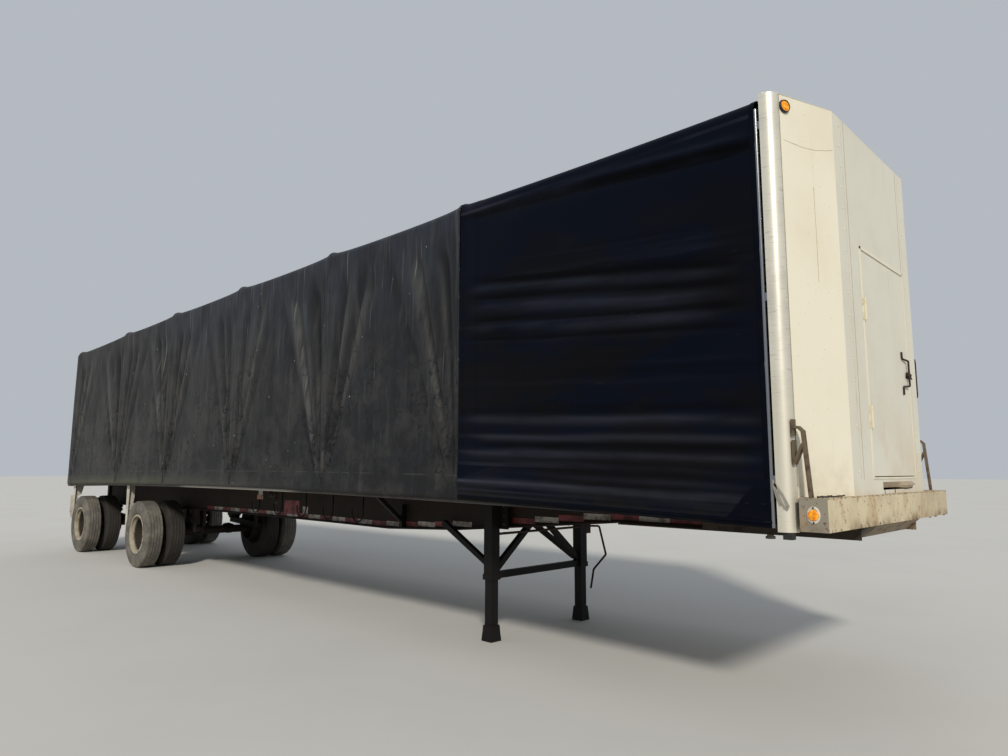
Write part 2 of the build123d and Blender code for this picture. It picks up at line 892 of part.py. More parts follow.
with BuildPart() as bow_posts:
    for station in bow_stations:
        x = at(station)
        foot = carriage_top + seat + rise(x)
        for _, side in sides:
            with BuildSketch(Plane.XY.offset(foot)):
                with Locations((x, side * (bow_half_width - bow_post_depth / 2))):
                    Rectangle(bow_width, bow_post_depth)
            extrude(amount=bow_joint + rise(x) - foot)
save(bow_posts.part, "bow_posts")

bow_corner_radius = cover_corner_radius - cover_thickness - bow_gap

with BuildPart() as bow_roofs:
    for station in bow_stations:
        x = at(station)
        low = bow_joint + seat + rise(x)
        top = bow_top + rise(x)
        with BuildSketch(Plane(origin=(x, 0, 0), x_dir=(0, 1, 0), z_dir=(1, 0, 0))) as bow_section:
            with BuildLine():
                corner = bow_half_width - bow_corner_radius
                arc_z = top - bow_corner_radius
                diagonal = bow_corner_radius * sin(radians(45))
                Line((-bow_half_width, low), (-bow_half_width, arc_z))
                left_arc_middle = (-corner - diagonal, arc_z + diagonal)
                ThreePointArc((-bow_half_width, arc_z), left_arc_middle, (-corner, top))
                Line((-corner, top), (corner, top))
                ThreePointArc((corner, top), (corner + diagonal, arc_z + diagonal), (bow_half_width, arc_z))
                Line((bow_half_width, arc_z), (bow_half_width, low))
                inner = bow_half_width - bow_post_depth
                inner_radius = bow_corner_radius - bow_post_depth
                inner_diagonal = inner_radius * sin(radians(45))
                inner_top = top - bow_roof_depth
                Line((bow_half_width, low), (inner, low))
                Line((inner, low), (inner, inner_top - inner_radius))
                ThreePointArc(
                    (inner, inner_top - inner_radius),
                    (inner - inner_radius + inner_diagonal, inner_top - inner_radius + inner_diagonal),
                    (inner - inner_radius, inner_top),
                )
                Line((inner - inner_radius, inner_top), (inner_radius - inner, inner_top))
                ThreePointArc(
                    (inner_radius - inner, inner_top),
                    (inner_radius - inner - inner_diagonal, inner_top - inner_radius + inner_diagonal),
                    (-inner, inner_top - inner_radius),
                )
                Line((-inner, inner_top - inner_radius), (-inner, low))
                Line((-inner, low), (-bow_half_width, low))
            make_face()
        extrude(amount=bow_width / 2, both=True)
save(bow_roofs.part, "bow_roofs")

pipe_station = front_cover_station - seat - tension_pipe_radius

with BuildPart() as tension_pipes:
    for _, side in sides:
        with BuildSketch(Plane.XY.offset(tension_pipe_bottom)):
            with Locations((at(pipe_station), side * (cover_half_width - tension_pipe_radius))):
                Circle(tension_pipe_radius)
        extrude(amount=headboard_top - tension_pipe_bottom - cover_corner_radius)
        lug_front = at(pipe_station)
        lug_back = at(corner_station + post_depth) - seat
        lug_y = side * (cover_half_width - tension_pipe_radius)
        for height in pipe_lug_heights:
            with Locations(((lug_front + lug_back) / 2, lug_y, height)):
                Box(lug_back - lug_front, tension_pipe_radius, pipe_lug_height)
save(tension_pipes.part, "tension_pipes")


# Cover: a main and a front section, each with two side sheets and a rounded roof, and a rear curtain
roof_foot = cover_top - cover_corner_radius


def hem_height(station):
    """Height of the hem: at the foot of the tension pipe at the front, else along the deck."""
    if station == front_cover_station:
        return tension_pipe_bottom
    return cover_hem + rise(at(station))


def side_sheets(front, rear):
    """Sheets of a cover section that hang down both sides, their hem straight between bows."""
    x_front, x_rear = at(front), at(rear)
    x_mid = (x_front + x_rear) / 2
    hem_stations = [front] + [s for s in bow_stations if front < s < rear] + [rear]
    head = roof_foot - seat
    for _, side in sides:
        with BuildSketch(side_plane(max(side * cover_half_width, side * cover_inner))) as sheet:
            with BuildLine():
                Polyline(*[(at(station), hem_height(station)) for station in hem_stations])
                ThreePointArc(on_camber(x_rear, head), on_camber(x_mid, head), on_camber(x_front, head))
                Line((x_rear, hem_height(rear)), on_camber(x_rear, head))
                Line((x_front, hem_height(front)), on_camber(x_front, head))
            make_face()
        extrude(sheet.sketch, amount=cover_thickness)


def roof_outline(half_width, top, radius):
    """Lines and corner arcs of the roof's section down to the height where its corners begin."""
    flat = half_width - radius
    foot = top - radius
    diagonal = radius * sin(radians(45))
    ThreePointArc((-half_width, foot), (-flat - diagonal, foot + diagonal), (-flat, top))
    Line((-flat, top), (flat, top))
    ThreePointArc((flat, top), (flat + diagonal, foot + diagonal), (half_width, foot))


def roof_sheet(front, rear):
    """Roof of a cover section with its two rounded edges, swept along the camber."""
    x_front, x_rear = at(front), at(rear)
    x_mid = (x_front + x_rear) / 2
    with BuildLine() as path:
        ThreePointArc(
            (x_front, 0, roof_foot + rise(x_front)),
            (x_mid, 0, roof_foot + rise(x_mid)),
            (x_rear, 0, roof_foot + rise(x_rear)),
        )
    start = path.line @ 0
    with BuildSketch(Plane(origin=start, x_dir=(0, -1, 0), z_dir=path.line % 0)) as section:
        with BuildLine():
            roof_outline(cover_half_width, cover_corner_radius, cover_corner_radius)
            inner_radius = cover_corner_radius - cover_thickness
            roof_outline(cover_inner, inner_radius, inner_radius)
            Line((-cover_half_width, 0), (-cover_inner, 0))
            Line((cover_inner, 0), (cover_half_width, 0))
        make_face()
    sweep(sections=section.sketch, path=path.line)


with BuildPart() as cover_front:
    side_sheets(front_cover_station, cover_split_station - seat)
    roof_sheet(front_cover_station, cover_split_station - seat)
save(cover_front.part, "cover_front")

with BuildPart() as cover_main:
    side_sheets(cover_split_station, cover_rear_station)
    roof_sheet(cover_split_station, cover_rear_station - roof_rear_inset)
save(cover_main.part, "cover_main")

curtain_x = at(cover_rear_station + seat)
curtain_foot = deck_height + seat + rise(curtain_x)
curtain_top = cover_top + rise(curtain_x)

with BuildPart() as cover_rear_curtain:
    with BuildSketch(Plane(origin=(curtain_x, 0, 0), x_dir=(0, -1, 0), z_dir=(-1, 0, 0))):
        with BuildLine():
            roof_outline(cover_half_width, curtain_top, cover_corner_radius)
            Polyline(
                (-cover_half_width, curtain_top - cover_corner_radius),
                (-cover_half_width, curtain_foot),
                (cover_half_width, curtain_foot),
                (cover_half_width, curtain_top - cover_corner_radius),
            )
        make_face()
    extrude(amount=cover_thickness)
save(cover_rear_curtain.part, "cover_rear_curtain")


# Landing gear: tube housings on plates, inner legs with feet, braces, and the crank on the left
leg_x = at(leg_station)
leg_plate_top = frame_top + rise(leg_x) - 2 * seat
leg_wall = (leg_tube - leg_inner_tube) / 2 - seat
flange_edge = beam_offset + beam_flange_width / 2

with BuildPart() as leg_housings:
    for _, side in sides:
        with BuildSketch(Plane.XY.offset(leg_housing_bottom)):
            with Locations((leg_x, side * leg_offset)):
                Rectangle(leg_tube, leg_tube)
        extrude(amount=leg_top - leg_housing_bottom)
        with BuildSketch(Plane.XY.offset(leg_housing_bottom)):
            with Locations((leg_x, side * leg_offset)):
                Rectangle(leg_collar, leg_collar)
        extrude(amount=leg_collar_height)
        with BuildSketch(Plane.XY.offset(leg_housing_bottom)):
            with Locations((leg_x, side * leg_offset)):
                Rectangle(leg_tube - 2 * leg_wall, leg_tube - 2 * leg_wall)
        extrude(amount=leg_top - leg_housing_bottom - leg_wall, mode=Mode.SUBTRACT)
        plate_inner = flange_edge + seat
        plate_outer = leg_offset - leg_tube / 2
        plate_middle = side * (plate_inner + plate_outer) / 2
        with Locations((leg_x, plate_middle, leg_plate_top - leg_plate_height / 2)):
            Box(leg_plate_length, plate_outer - plate_inner, leg_plate_height)
save(leg_housings.part, "leg_housings")

with BuildPart() as leg_feet:
    for _, side in sides:
        with BuildSketch(Plane.XY.offset(foot_height)):
            with Locations((leg_x, side * leg_offset)):
                Rectangle(leg_inner_tube, leg_inner_tube)
        extrude(amount=leg_housing_bottom + leg_overlap - foot_height)
        with BuildSketch(Plane.XY):
            with Locations((leg_x, side * leg_offset)):
                Rectangle(foot_width, foot_width)
        with BuildSketch(Plane.XY.offset(foot_height)):
            with Locations((leg_x, side * leg_offset)):
                Rectangle(foot_width - foot_taper, foot_width - foot_taper)
        loft()
save(leg_feet.part, "leg_feet")

leg_inner_face = leg_offset - leg_tube / 2 - seat
collar_inner_face = leg_offset - leg_collar / 2 - seat
web_inner_face = beam_offset - beam_web / 2 - seat

with BuildPart() as leg_braces:
    with Locations((leg_x, 0, tie_bar_height)):
        Box(tie_bar_size, 2 * collar_inner_face, tie_bar_size)
    with Locations((leg_x, 0, lateral_brace_top)):
        Box(tie_bar_size, 2 * web_inner_face, tie_bar_size)
    for _, side in sides:
        with BuildSketch(Plane(origin=(leg_x, 0, 0), x_dir=(0, 1, 0), z_dir=(1, 0, 0))):
            with BuildLine():
                Polyline(
                    (side * leg_inner_face, brace_foot_height - brace_size / 2),
                    (side * leg_inner_face, brace_foot_height + brace_size),
                    (side * brace_size, lateral_brace_top),
                    (0, lateral_brace_top - brace_size / 2),
                    close=True,
                )
            make_face()
        extrude(amount=brace_size / 2, both=True)
    for _, side in sides:
        brace_foot_x = leg_x - leg_tube / 2 - seat
        brace_head_x = at(rear_brace_station)
        outer = side * (flange_edge + seat + brace_size)
        inner = side * (flange_edge + seat)
        with BuildSketch(side_plane(max(outer, inner))):
            with BuildLine():
                Polyline(
                    (brace_foot_x, brace_foot_height),
                    (brace_foot_x, brace_foot_height + brace_size),
                    (brace_head_x + brace_size / 2, rear_brace_top + brace_size),
                    (brace_head_x, rear_brace_top),
                    close=True,
                )
            make_face()
        extrude(amount=brace_size)
save(leg_braces.part, "leg_braces")


shaft_x = leg_x + shaft_shift
gearbox_inner = leg_offset + leg_tube / 2 + seat
gearbox_outer = gearbox_inner + gearbox_depth
crank_foot = shaft_height - crank_drop
crank_handle_y = gearbox_outer + crank_reach / 2

with BuildPart() as leg_crank:
    with Locations((shaft_x, 0, shaft_height)):
        Cylinder(shaft_radius, 2 * leg_inner_face, rotation=(90, 0, 0))
    with Locations((leg_x, (gearbox_inner + gearbox_outer) / 2, shaft_height)):
        Box(leg_tube, gearbox_depth, gearbox_height)
    rod_through(
        (
            (leg_x, gearbox_outer - gearbox_depth / 2, shaft_height),
            (leg_x + crank_reach, crank_handle_y, shaft_height),
            (leg_x + crank_swing, gearbox_outer + crank_reach, crank_foot),
            (leg_x + crank_swing / 4, crank_handle_y, crank_foot - crank_swing),
            (leg_x, crank_handle_y, crank_foot - crank_swing - crank_handle),
        ),
        crank_radius,
    )
save(leg_crank.part, "leg_crank")


# Axles: round beams with a spindle at each end
with BuildPart() as axles:
    for _, station in axle_stations:
        with Locations((at(station), 0, tyre_radius)):
            Cylinder(axle_radius, 2 * axle_half_length, rotation=(90, 0, 0))
            Cylinder(spindle_radius, 2 * spindle_end, rotation=(90, 0, 0))
save(axles.part, "axles")


# Wheels: twin tyres, twin disc wheels back to back, and a hub with its brake drum
def wheel_plane(station, side, offset_y):
    """Plane through a wheel's axis: local x points outward along the axle, local y is up."""
    return Plane(origin=(at(station), side * offset_y, tyre_radius), x_dir=(0, side, 0), z_dir=(side, 0, 0))


def tyre_section():
    """Section of a tyre about its middle: bead, bulging sidewalls, shoulders and crown."""
    with BuildSketch() as section:
        with BuildLine():
            Line((-bead_half_width, bead_radius), (bead_half_width, bead_radius))
            ThreePointArc(
                (-tread_half_width, tyre_shoulder_radius),
                (0, tyre_radius),
                (tread_half_width, tyre_shoulder_radius),
            )
            for flip in (-1, 1):
                Line((flip * bead_half_width, bead_radius), (flip * bead_half_width, bead_top_radius))
                ThreePointArc(
                    (flip * bead_half_width, bead_top_radius),
                    (flip * tyre_half_width, tyre_widest_radius),
                    (flip * tread_half_width, tyre_shoulder_radius),
                )
        make_face()
    return section.sketch


def disc_wheel_section(facing):
    """Section of a disc wheel about its rim's middle, its disc on the side that facing gives."""
    seat_radius = bead_radius - seat
    flange_in = bead_half_width + seat
    flange_out = flange_in + rim_flange_width
    slope = seat_radius - rim_drop_radius - rim_wall
    half_outline = [
        (flange_out, rim_flange_radius),
        (flange_in, rim_flange_radius),
        (flange_in, seat_radius),
        (rim_drop_half_width + slope, seat_radius),
        (rim_drop_half_width, rim_drop_radius + rim_wall),
    ]
    half_under = [
        (rim_drop_half_width, rim_drop_radius),
        (rim_drop_half_width + slope, seat_radius - rim_wall),
        (flange_out, seat_radius - rim_wall),
    ]
    mirrored_outline = [(-w, r) for w, r in reversed(half_outline)]
    mirrored_under = [(-w, r) for w, r in reversed(half_under)]
    face = dual_spacing / 2 - seat / 2
    with BuildSketch() as section:
        with BuildLine():
            Polyline(*half_outline, *mirrored_outline, *mirrored_under, *half_under, close=True)
        make_face()
        with BuildLine():
            Polyline(
                (facing * face, disc_bore_radius),
                (facing * face, disc_face_radius),
                (facing * (rim_drop_half_width + slope / 2), rim_drop_radius + rim_wall),
                (facing * (rim_drop_half_width - disc_thickness), rim_drop_radius + rim_wall / 2),
                (facing * (face - disc_thickness), disc_face_radius),
                (facing * (face - disc_thickness), disc_bore_radius),
                close=True,
            )
        make_face()
    return section.sketch


def hub_section():
    """Section of the hub, drum and cap, measured outward from the trailer's middle."""
    flange_face = dual_middle - disc_thickness - 2 * seat
    flange_back = flange_face - hub_flange_thickness
    drum_outer = drum_inner_offset + drum_length
    pilot_radius = disc_bore_radius - 2 * seat
    pilot_face = dual_middle + 2 * disc_thickness
    cap_face = dual_middle + hub_cap_length
    bore_radius = spindle_radius + seat
    bore_end = spindle_end + hub_end_gap
    with BuildSketch() as section:
        with BuildLine():
            Polyline(
                (drum_inner_offset, drum_radius),
                (drum_outer, drum_radius),
                (drum_outer, hub_barrel_radius),
                (flange_back, hub_barrel_radius),
                (flange_back, hub_flange_radius),
                (flange_face, hub_flange_radius),
                (flange_face, pilot_radius),
                (pilot_face, pilot_radius),
                (pilot_face, hub_cap_radius),
                (cap_face, hub_cap_radius),
                (cap_face, 0),
                (bore_end, 0),
                (bore_end, bore_radius),
                (drum_outer - drum_wall, bore_radius),
                (drum_outer - drum_wall, drum_radius - drum_wall),
                (drum_inner_offset, drum_radius - drum_wall),
                close=True,
            )
        make_face()
    return section.sketch


for axle_name, station in axle_stations:
    for side_name, side in sides:
        wheel_axis = Axis((at(station), 0, tyre_radius), (0, 1, 0))
        wheel_name = f"wheel_{axle_name}_{side_name}"

        with BuildPart() as tyres:
            for offset_y in (inner_tyre_offset, outer_tyre_offset):
                with BuildSketch(wheel_plane(station, side, offset_y)):
                    add(tyre_section())
                revolve(axis=wheel_axis)
        save(tyres.part, f"{wheel_name}_tyres")

        with BuildPart() as discs:
            for offset_y, facing in ((inner_tyre_offset, 1), (outer_tyre_offset, -1)):
                with BuildSketch(wheel_plane(station, side, offset_y)):
                    add(disc_wheel_section(facing))
                revolve(axis=wheel_axis)
            hole_centre = (at(station), side * inner_tyre_offset, tyre_radius)
            hole_plane = Plane(origin=hole_centre, z_dir=(0, side, 0))
            with BuildSketch(hole_plane):
                with PolarLocations(hand_hole_circle, hand_hole_count):
                    Circle(hand_hole_radius)
            extrude(amount=dual_spacing, mode=Mode.SUBTRACT)
        save(discs.part, f"{wheel_name}_rims")

        with BuildPart() as hub:
            with BuildSketch(wheel_plane(station, side, 0)):
                add(hub_section())
            revolve(axis=wheel_axis)
        save(hub.part, f"{wheel_name}_hub")


# Suspension: hangers under the beams, trailing arms over the axles and air springs behind them
def beam_under(x):
    """Height of the main beams' underside at x, behind the gooseneck."""
    return beam_under_height + rise(x) - seat


with BuildPart() as spring_hangers:
    for _, station in axle_stations:
        x = at(station - hanger_lead)
        x_front, x_back = x + hanger_length / 2, x - hanger_length / 2
        for _, side in sides:
            for flank in (-1, 1):
                plate_y = side * beam_offset + flank * (hanger_half_width - hanger_wall / 2)
                with BuildSketch(side_plane(plate_y)):
                    with BuildLine():
                        Polyline(
                            (x_front, beam_under(x_front)),
                            (x_back, beam_under(x_back)),
                            (x - hanger_length / 4, hanger_bottom),
                            (x + hanger_length / 4, hanger_bottom),
                            close=True,
                        )
                    make_face()
                extrude(amount=hanger_wall / 2, both=True)
            with Locations((x, side * beam_offset, pivot_height)):
                Cylinder(pivot_radius, 2 * hanger_half_width, rotation=(90, 0, 0))
save(spring_hangers.part, "spring_hangers")

with BuildPart() as trailing_arms:
    for _, station in axle_stations:
        x_pivot, x_axle, x_tail = at(station - hanger_lead), at(station), at(station + arm_tail)
        x_spring = at(station + air_spring_lag)
        for _, side in sides:
            with BuildSketch(side_plane(side * beam_offset)):
                with BuildLine():
                    Polyline(
                        (x_pivot, pivot_height - arm_height / 2),
                        (x_pivot, pivot_height + arm_height / 2),
                        (x_tail, arm_tail_height + arm_height / 2),
                        (x_tail, arm_tail_height - arm_height / 2),
                        close=True,
                    )
                make_face()
                with Locations((x_pivot, pivot_height)):
                    Circle(arm_height / 2)
                with Locations((x_axle, (tyre_radius + arm_tail_height) / 2)):
                    Rectangle(saddle_length, arm_tail_height - tyre_radius)
                with Locations((x_axle, tyre_radius)):
                    Circle(axle_radius + seat, mode=Mode.SUBTRACT)
                with Locations((x_pivot, pivot_height)):
                    Circle(pivot_radius + seat, mode=Mode.SUBTRACT)
            extrude(amount=arm_width / 2, both=True)
            seat_top = arm_tail_height + arm_height / 2
            with BuildSketch(Plane.XY.offset(seat_top - spring_seat_thickness)):
                with Locations((x_spring, side * beam_offset)):
                    Circle(air_spring_seat_radius)
            extrude(amount=2 * spring_seat_thickness)
save(trailing_arms.part, "trailing_arms")

with BuildPart() as air_springs:
    for _, station in axle_stations:
        x = at(station + air_spring_lag)
        low = arm_tail_height + arm_height / 2 + spring_seat_thickness + seat
        high = beam_under(x - air_spring_radius)
        middle = (low + high) / 2
        neck_radius = air_spring_neck_radius
        for _, side in sides:
            spring_axis = Axis((x, side * beam_offset, 0), (0, 0, 1))
            with BuildSketch(side_plane(side * beam_offset)):
                with BuildLine():
                    Polyline((x + neck_radius, low), (x, low), (x, high), (x + neck_radius, high))
                    for bottom, top in ((low, middle), (middle, high)):
                        ThreePointArc(
                            (x + neck_radius, bottom),
                            (x + air_spring_radius, (bottom + top) / 2),
                            (x + neck_radius, top),
                        )
                make_face()
            revolve(axis=spring_axis)
save(air_springs.part, "air_springs")

with BuildPart() as brake_chambers:
    for _, station in axle_stations:
        chamber_front = axle_radius + seat + chamber_bracket
        for _, side in sides:
            y = side * brake_chamber_offset
            with Locations((at(station + chamber_front + brake_chamber_length / 2), y, tyre_radius)):
                Cylinder(brake_chamber_radius, brake_chamber_length, rotation=(0, 90, 0))
                Cylinder(brake_chamber_radius + clamp_ring, clamp_ring * 2, rotation=(0, 90, 0))
            with Locations((at(station + axle_radius + seat + chamber_bracket / 2), y, tyre_radius)):
                Box(chamber_bracket, axle_radius, axle_radius)
save(brake_chambers.part, "brake_chambers")

with BuildPart() as air_tanks:
    for station in tank_stations:
        x = at(station)
        z = tank_height + rise(x)
        tank_axis = Axis((x, 0, z), (0, 1, 0))
        with BuildSketch(Plane(origin=(x, 0, z), x_dir=(0, 1, 0), z_dir=(1, 0, 0))):
            with BuildLine():
                half = tank_length / 2
                shoulder = half - tank_dome
                Polyline((-half, 0), (half, 0))
                bulge = shoulder + tank_dome_bulge
                ThreePointArc((half, 0), (bulge, tank_dome_bulge_radius), (shoulder, tank_radius))
                Line((shoulder, tank_radius), (-shoulder, tank_radius))
                ThreePointArc((-shoulder, tank_radius), (-bulge, tank_dome_bulge_radius), (-half, 0))
            make_face()
        revolve(axis=tank_axis)
        with Locations((x, 0, z)):
            Box(tank_strap, 2 * web_inner_face, tank_strap)
save(air_tanks.part, "air_tanks")


# Mud flap arms hung from the side rails, with flaps behind the rear wheels
rail_under = deck_height - rail_height - seat
arm_outer = rail_half_width - rail_wall - seat

with BuildPart() as flap_arms:
    for _, station in axle_stations:
        x = at(station + flap_lag)
        top = rail_under + min(rise(x - flap_plate_top / 2), rise(x + flap_plate_top / 2))
        for _, side in sides:
            with BuildSketch(side_plane(side * (arm_outer - flap_plate_thickness / 2))):
                with BuildLine():
                    Polyline(
                        (x + flap_plate_top / 2, top),
                        (x - flap_plate_top / 2, top),
                        (x - flap_plate_foot / 2, flap_plate_bottom),
                        (x + flap_plate_foot / 2, flap_plate_bottom),
                        close=True,
                    )
                make_face()
            extrude(amount=flap_plate_thickness / 2, both=True)
            inner = beam_offset + beam_web / 2 + seat
            outer = arm_outer - flap_plate_thickness / 2
            with Locations((x, side * (inner + outer) / 2, flap_bar_height)):
                Box(flap_bar, outer - inner, flap_bar)
save(flap_arms.part, "flap_arms")

with BuildPart() as mud_flaps:
    x = at(axle_stations[-1][1] + flap_lag) - flap_bar / 2 - seat - flap_thickness / 2
    for _, side in sides:
        with Locations((x, side * flap_offset, (flap_bottom + flap_top) / 2)):
            Box(flap_thickness, flap_width, flap_top - flap_bottom)
save(mud_flaps.part, "mud_flaps")


# Rear bumper: a square bar on two posts under the beams
with BuildPart() as rear_bumper:
    x = at(bumper_station)
    with Locations((x, 0, bumper_height)):
        Box(bumper_bar, 2 * bumper_half_width, bumper_bar)
    post_top = deck_height - rear_sill_height - seat
    for _, side in sides:
        with Locations((x, side * beam_offset, (bumper_height + post_top) / 2)):
            Box(bumper_bar, bumper_bar, post_top - bumper_height)
save(rear_bumper.part, "rear_bumper")


# Hooks, winch and lamp bracket that hang from the right side rail, and struts under both rails
with BuildPart() as rail_hooks:
    for station in hook_stations:
        x = at(station)
        top = rail_under + rise(x - hook_rod_radius)
        turn = hook_width / 2
        turn_height = hook_bottom + turn
        with BuildLine() as path:
            Line((x, -hook_offset, top), (x, -hook_offset, turn_height))
            ThreePointArc(
                (x, -hook_offset, turn_height),
                (x - turn, -hook_offset, hook_bottom),
                (x - hook_width, -hook_offset, turn_height),
            )
            hook_tip = (x - hook_width, -hook_offset, hook_tip_height)
            Line((x - hook_width, -hook_offset, turn_height), hook_tip)
        with BuildSketch(Plane(origin=(x, -hook_offset, top), z_dir=(0, 0, -1))) as section:
            Circle(hook_rod_radius)
        sweep(sections=section.sketch, path=path.wires()[0])
save(rail_hooks.part, "rail_hooks")

winch_x = at(winch_station)
winch_top = rail_under + rise(winch_x - winch_length / 2)

with BuildPart() as strap_winch:
    for end in (-1, 1):
        with Locations((winch_x + end * winch_length / 2, -hook_offset, winch_top - winch_height / 2)):
            Box(winch_plate, winch_width, winch_height)
    with Locations((winch_x, -hook_offset, winch_top - winch_plate / 2)):
        Box(winch_length, winch_width, winch_plate)
    with Locations((winch_x, -hook_offset, winch_top - winch_height + winch_drum)):
        Cylinder(winch_drum, winch_length + 4 * winch_plate, rotation=(0, 90, 0))
save(strap_winch.part, "strap_winch")

with BuildPart() as side_lamp_bracket:
    x = at(side_lamp_station)
    top = rail_under + rise(x - side_lamp_length / 2)
    with Locations((x, -side_lamp_offset, (top + side_lamp_height) / 2)):
        Box(side_lamp_length, winch_plate, top - side_lamp_height)
save(side_lamp_bracket.part, "side_lamp_bracket")

with BuildPart() as side_lamp:
    lamp_y = -side_lamp_offset - winch_plate / 2 - seat - lamp_depth / 2
    with Locations((x, lamp_y, side_lamp_height + side_lamp_length / 4)):
        Box(side_lamp_length, lamp_depth, side_lamp_length / 2)
save(side_lamp.part, "side_lamp")

strut_x = at(min(crossmember_stations, key=lambda place: abs(place - strut_station)))
strut_head = frame_top + rise(strut_x) - 2 * seat
stiffener_width = flange_edge - beam_offset - beam_web / 2

with BuildPart() as side_struts:
    for _, side in sides:
        foot_y = flange_edge + seat
        head_y = strut_top_offset
        with BuildSketch(Plane(origin=(strut_x, 0, 0), x_dir=(0, 1, 0), z_dir=(1, 0, 0))):
            with BuildLine():
                Polyline(
                    (side * foot_y, strut_foot_height),
                    (side * foot_y, strut_foot_height + strut_size),
                    (side * (head_y - strut_size), strut_head),
                    (side * (head_y + strut_size / 2), strut_head),
                    close=True,
                )
            make_face()
        extrude(amount=strut_size / 2, both=True)
        stiffener_y = side * (foot_y - stiffener_width / 2)
        with Locations((strut_x, stiffener_y, strut_foot_height + stiffener_lift)):
            Box(strut_size, stiffener_width, stiffener_height)
save(side_struts.part, "side_struts")
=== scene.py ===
"""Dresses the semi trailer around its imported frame: weathered covers, painted and bare metal, tyres, lamps and trim."""

import json
import logging
import math
from collections.abc import Callable
from dataclasses import dataclass, field
from enum import Enum

import bmesh
import bpy
import numpy as np
from mathutils import Matrix, Vector

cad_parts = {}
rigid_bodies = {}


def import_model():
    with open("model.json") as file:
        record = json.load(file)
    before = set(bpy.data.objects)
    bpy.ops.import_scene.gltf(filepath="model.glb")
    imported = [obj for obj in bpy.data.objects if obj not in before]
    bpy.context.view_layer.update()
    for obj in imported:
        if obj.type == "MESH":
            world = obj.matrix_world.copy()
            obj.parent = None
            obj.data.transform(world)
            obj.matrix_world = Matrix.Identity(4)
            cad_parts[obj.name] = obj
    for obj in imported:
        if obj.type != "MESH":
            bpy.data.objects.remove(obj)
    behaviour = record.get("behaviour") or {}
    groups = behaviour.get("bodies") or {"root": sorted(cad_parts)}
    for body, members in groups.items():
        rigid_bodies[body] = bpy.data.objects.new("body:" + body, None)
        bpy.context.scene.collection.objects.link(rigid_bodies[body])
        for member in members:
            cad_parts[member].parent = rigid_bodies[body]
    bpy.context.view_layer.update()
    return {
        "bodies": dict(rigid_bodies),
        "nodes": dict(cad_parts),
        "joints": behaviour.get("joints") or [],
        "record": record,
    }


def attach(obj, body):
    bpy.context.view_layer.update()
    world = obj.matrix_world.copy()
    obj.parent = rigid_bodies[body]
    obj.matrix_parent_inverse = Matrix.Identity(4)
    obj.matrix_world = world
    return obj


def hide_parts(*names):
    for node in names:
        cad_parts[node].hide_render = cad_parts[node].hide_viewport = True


log = logging.getLogger("semi_trailer")

Values = np.ndarray | float

HALF_LENGTH = 7.315
CAMBER = 0.075
CAMBER_RADIUS = 356.766
BOWS = np.array((3.07, 5.23, 7.42, 9.65, 11.79, 14.465))
WHEEL_HEIGHT = 0.520
# The direction that the headboard's right side panel faces in.
SIDE_PANEL = (0.944, -0.329, 0)
# The thickness of coated cloth, drawn a little heavy.
CLOTH = 0.002
# Each twin wheel's name, its place along the trailer and its side.
WHEELS = tuple(
    (f"{end}_{side}", HALF_LENGTH - station, sign)
    for end, station in (("front", 10.74), ("rear", 13.77))
    for side, sign in (("right", -1), ("left", 1))
)


def along(station: float) -> float:
    """The x of a station, which is measured in metres from the front end."""
    return HALF_LENGTH - station


def rise(x: Values) -> Values:
    """How much the cambered frame rises at x over its ends, in metres."""
    return np.sqrt(CAMBER_RADIUS**2 - np.square(x)) - CAMBER_RADIUS + CAMBER


def fade(value: Values, start: float, end: float) -> Values:
    """A smooth 0 to 1 as value goes from start to end, also where end is the lower one."""
    t = np.clip((np.asarray(value, float) - start) / (end - start), 0, 1)
    return t * t * (3 - 2 * t)


def bell(value: Values, width: float) -> Values:
    """A rounded bump of height 1 at value 0."""
    return np.exp(-np.square(np.asarray(value, float) / width))


# Finishes


def linear(code: str) -> tuple[float, float, float, float]:
    """Turns an sRGB hex colour, six digits after a hash, into Blender's linear one with an alpha of 1."""
    parts = [int(code[i : i + 2], 16) / 255 for i in (1, 3, 5)]
    return (*[c / 12.92 if c <= 0.04045 else ((c + 0.055) / 1.055) ** 2.4 for c in parts], 1.0)


def add(
    tree: bpy.types.NodeTree, kind: str, values: dict | None = None, links: dict | None = None, **settings: object
) -> bpy.types.Node:
    """Adds a node with its settings, values and links.

    Args:
        tree: the node tree that gets it.
        kind: Blender's type name of the node.
        values: default values by input name or index.
        links: sockets to link from, by input name or index; None leaves an input's value.
        settings: properties of the node itself.

    Returns:
        The new node.
    """
    node = tree.nodes.new(kind)
    for name, value in settings.items():
        setattr(node, name, value)
    for name, value in (values or {}).items():
        node.inputs[name].default_value = value
    for name, source in (links or {}).items():
        if source is not None:
            tree.links.new(source, node.inputs[name])
    return node


class Pattern(Enum):
    """What breaks up a layer."""

    CLOUD = "soft patches"
    CONTOUR = "long thin curved lines"
    SPOTS = "round specks"
    WAVE = "even lines"


class Coordinates(Enum):
    """What a finish is drawn on, by the name of Blender's output."""

    OBJECT = "Object"
    CLOTH = "UV"


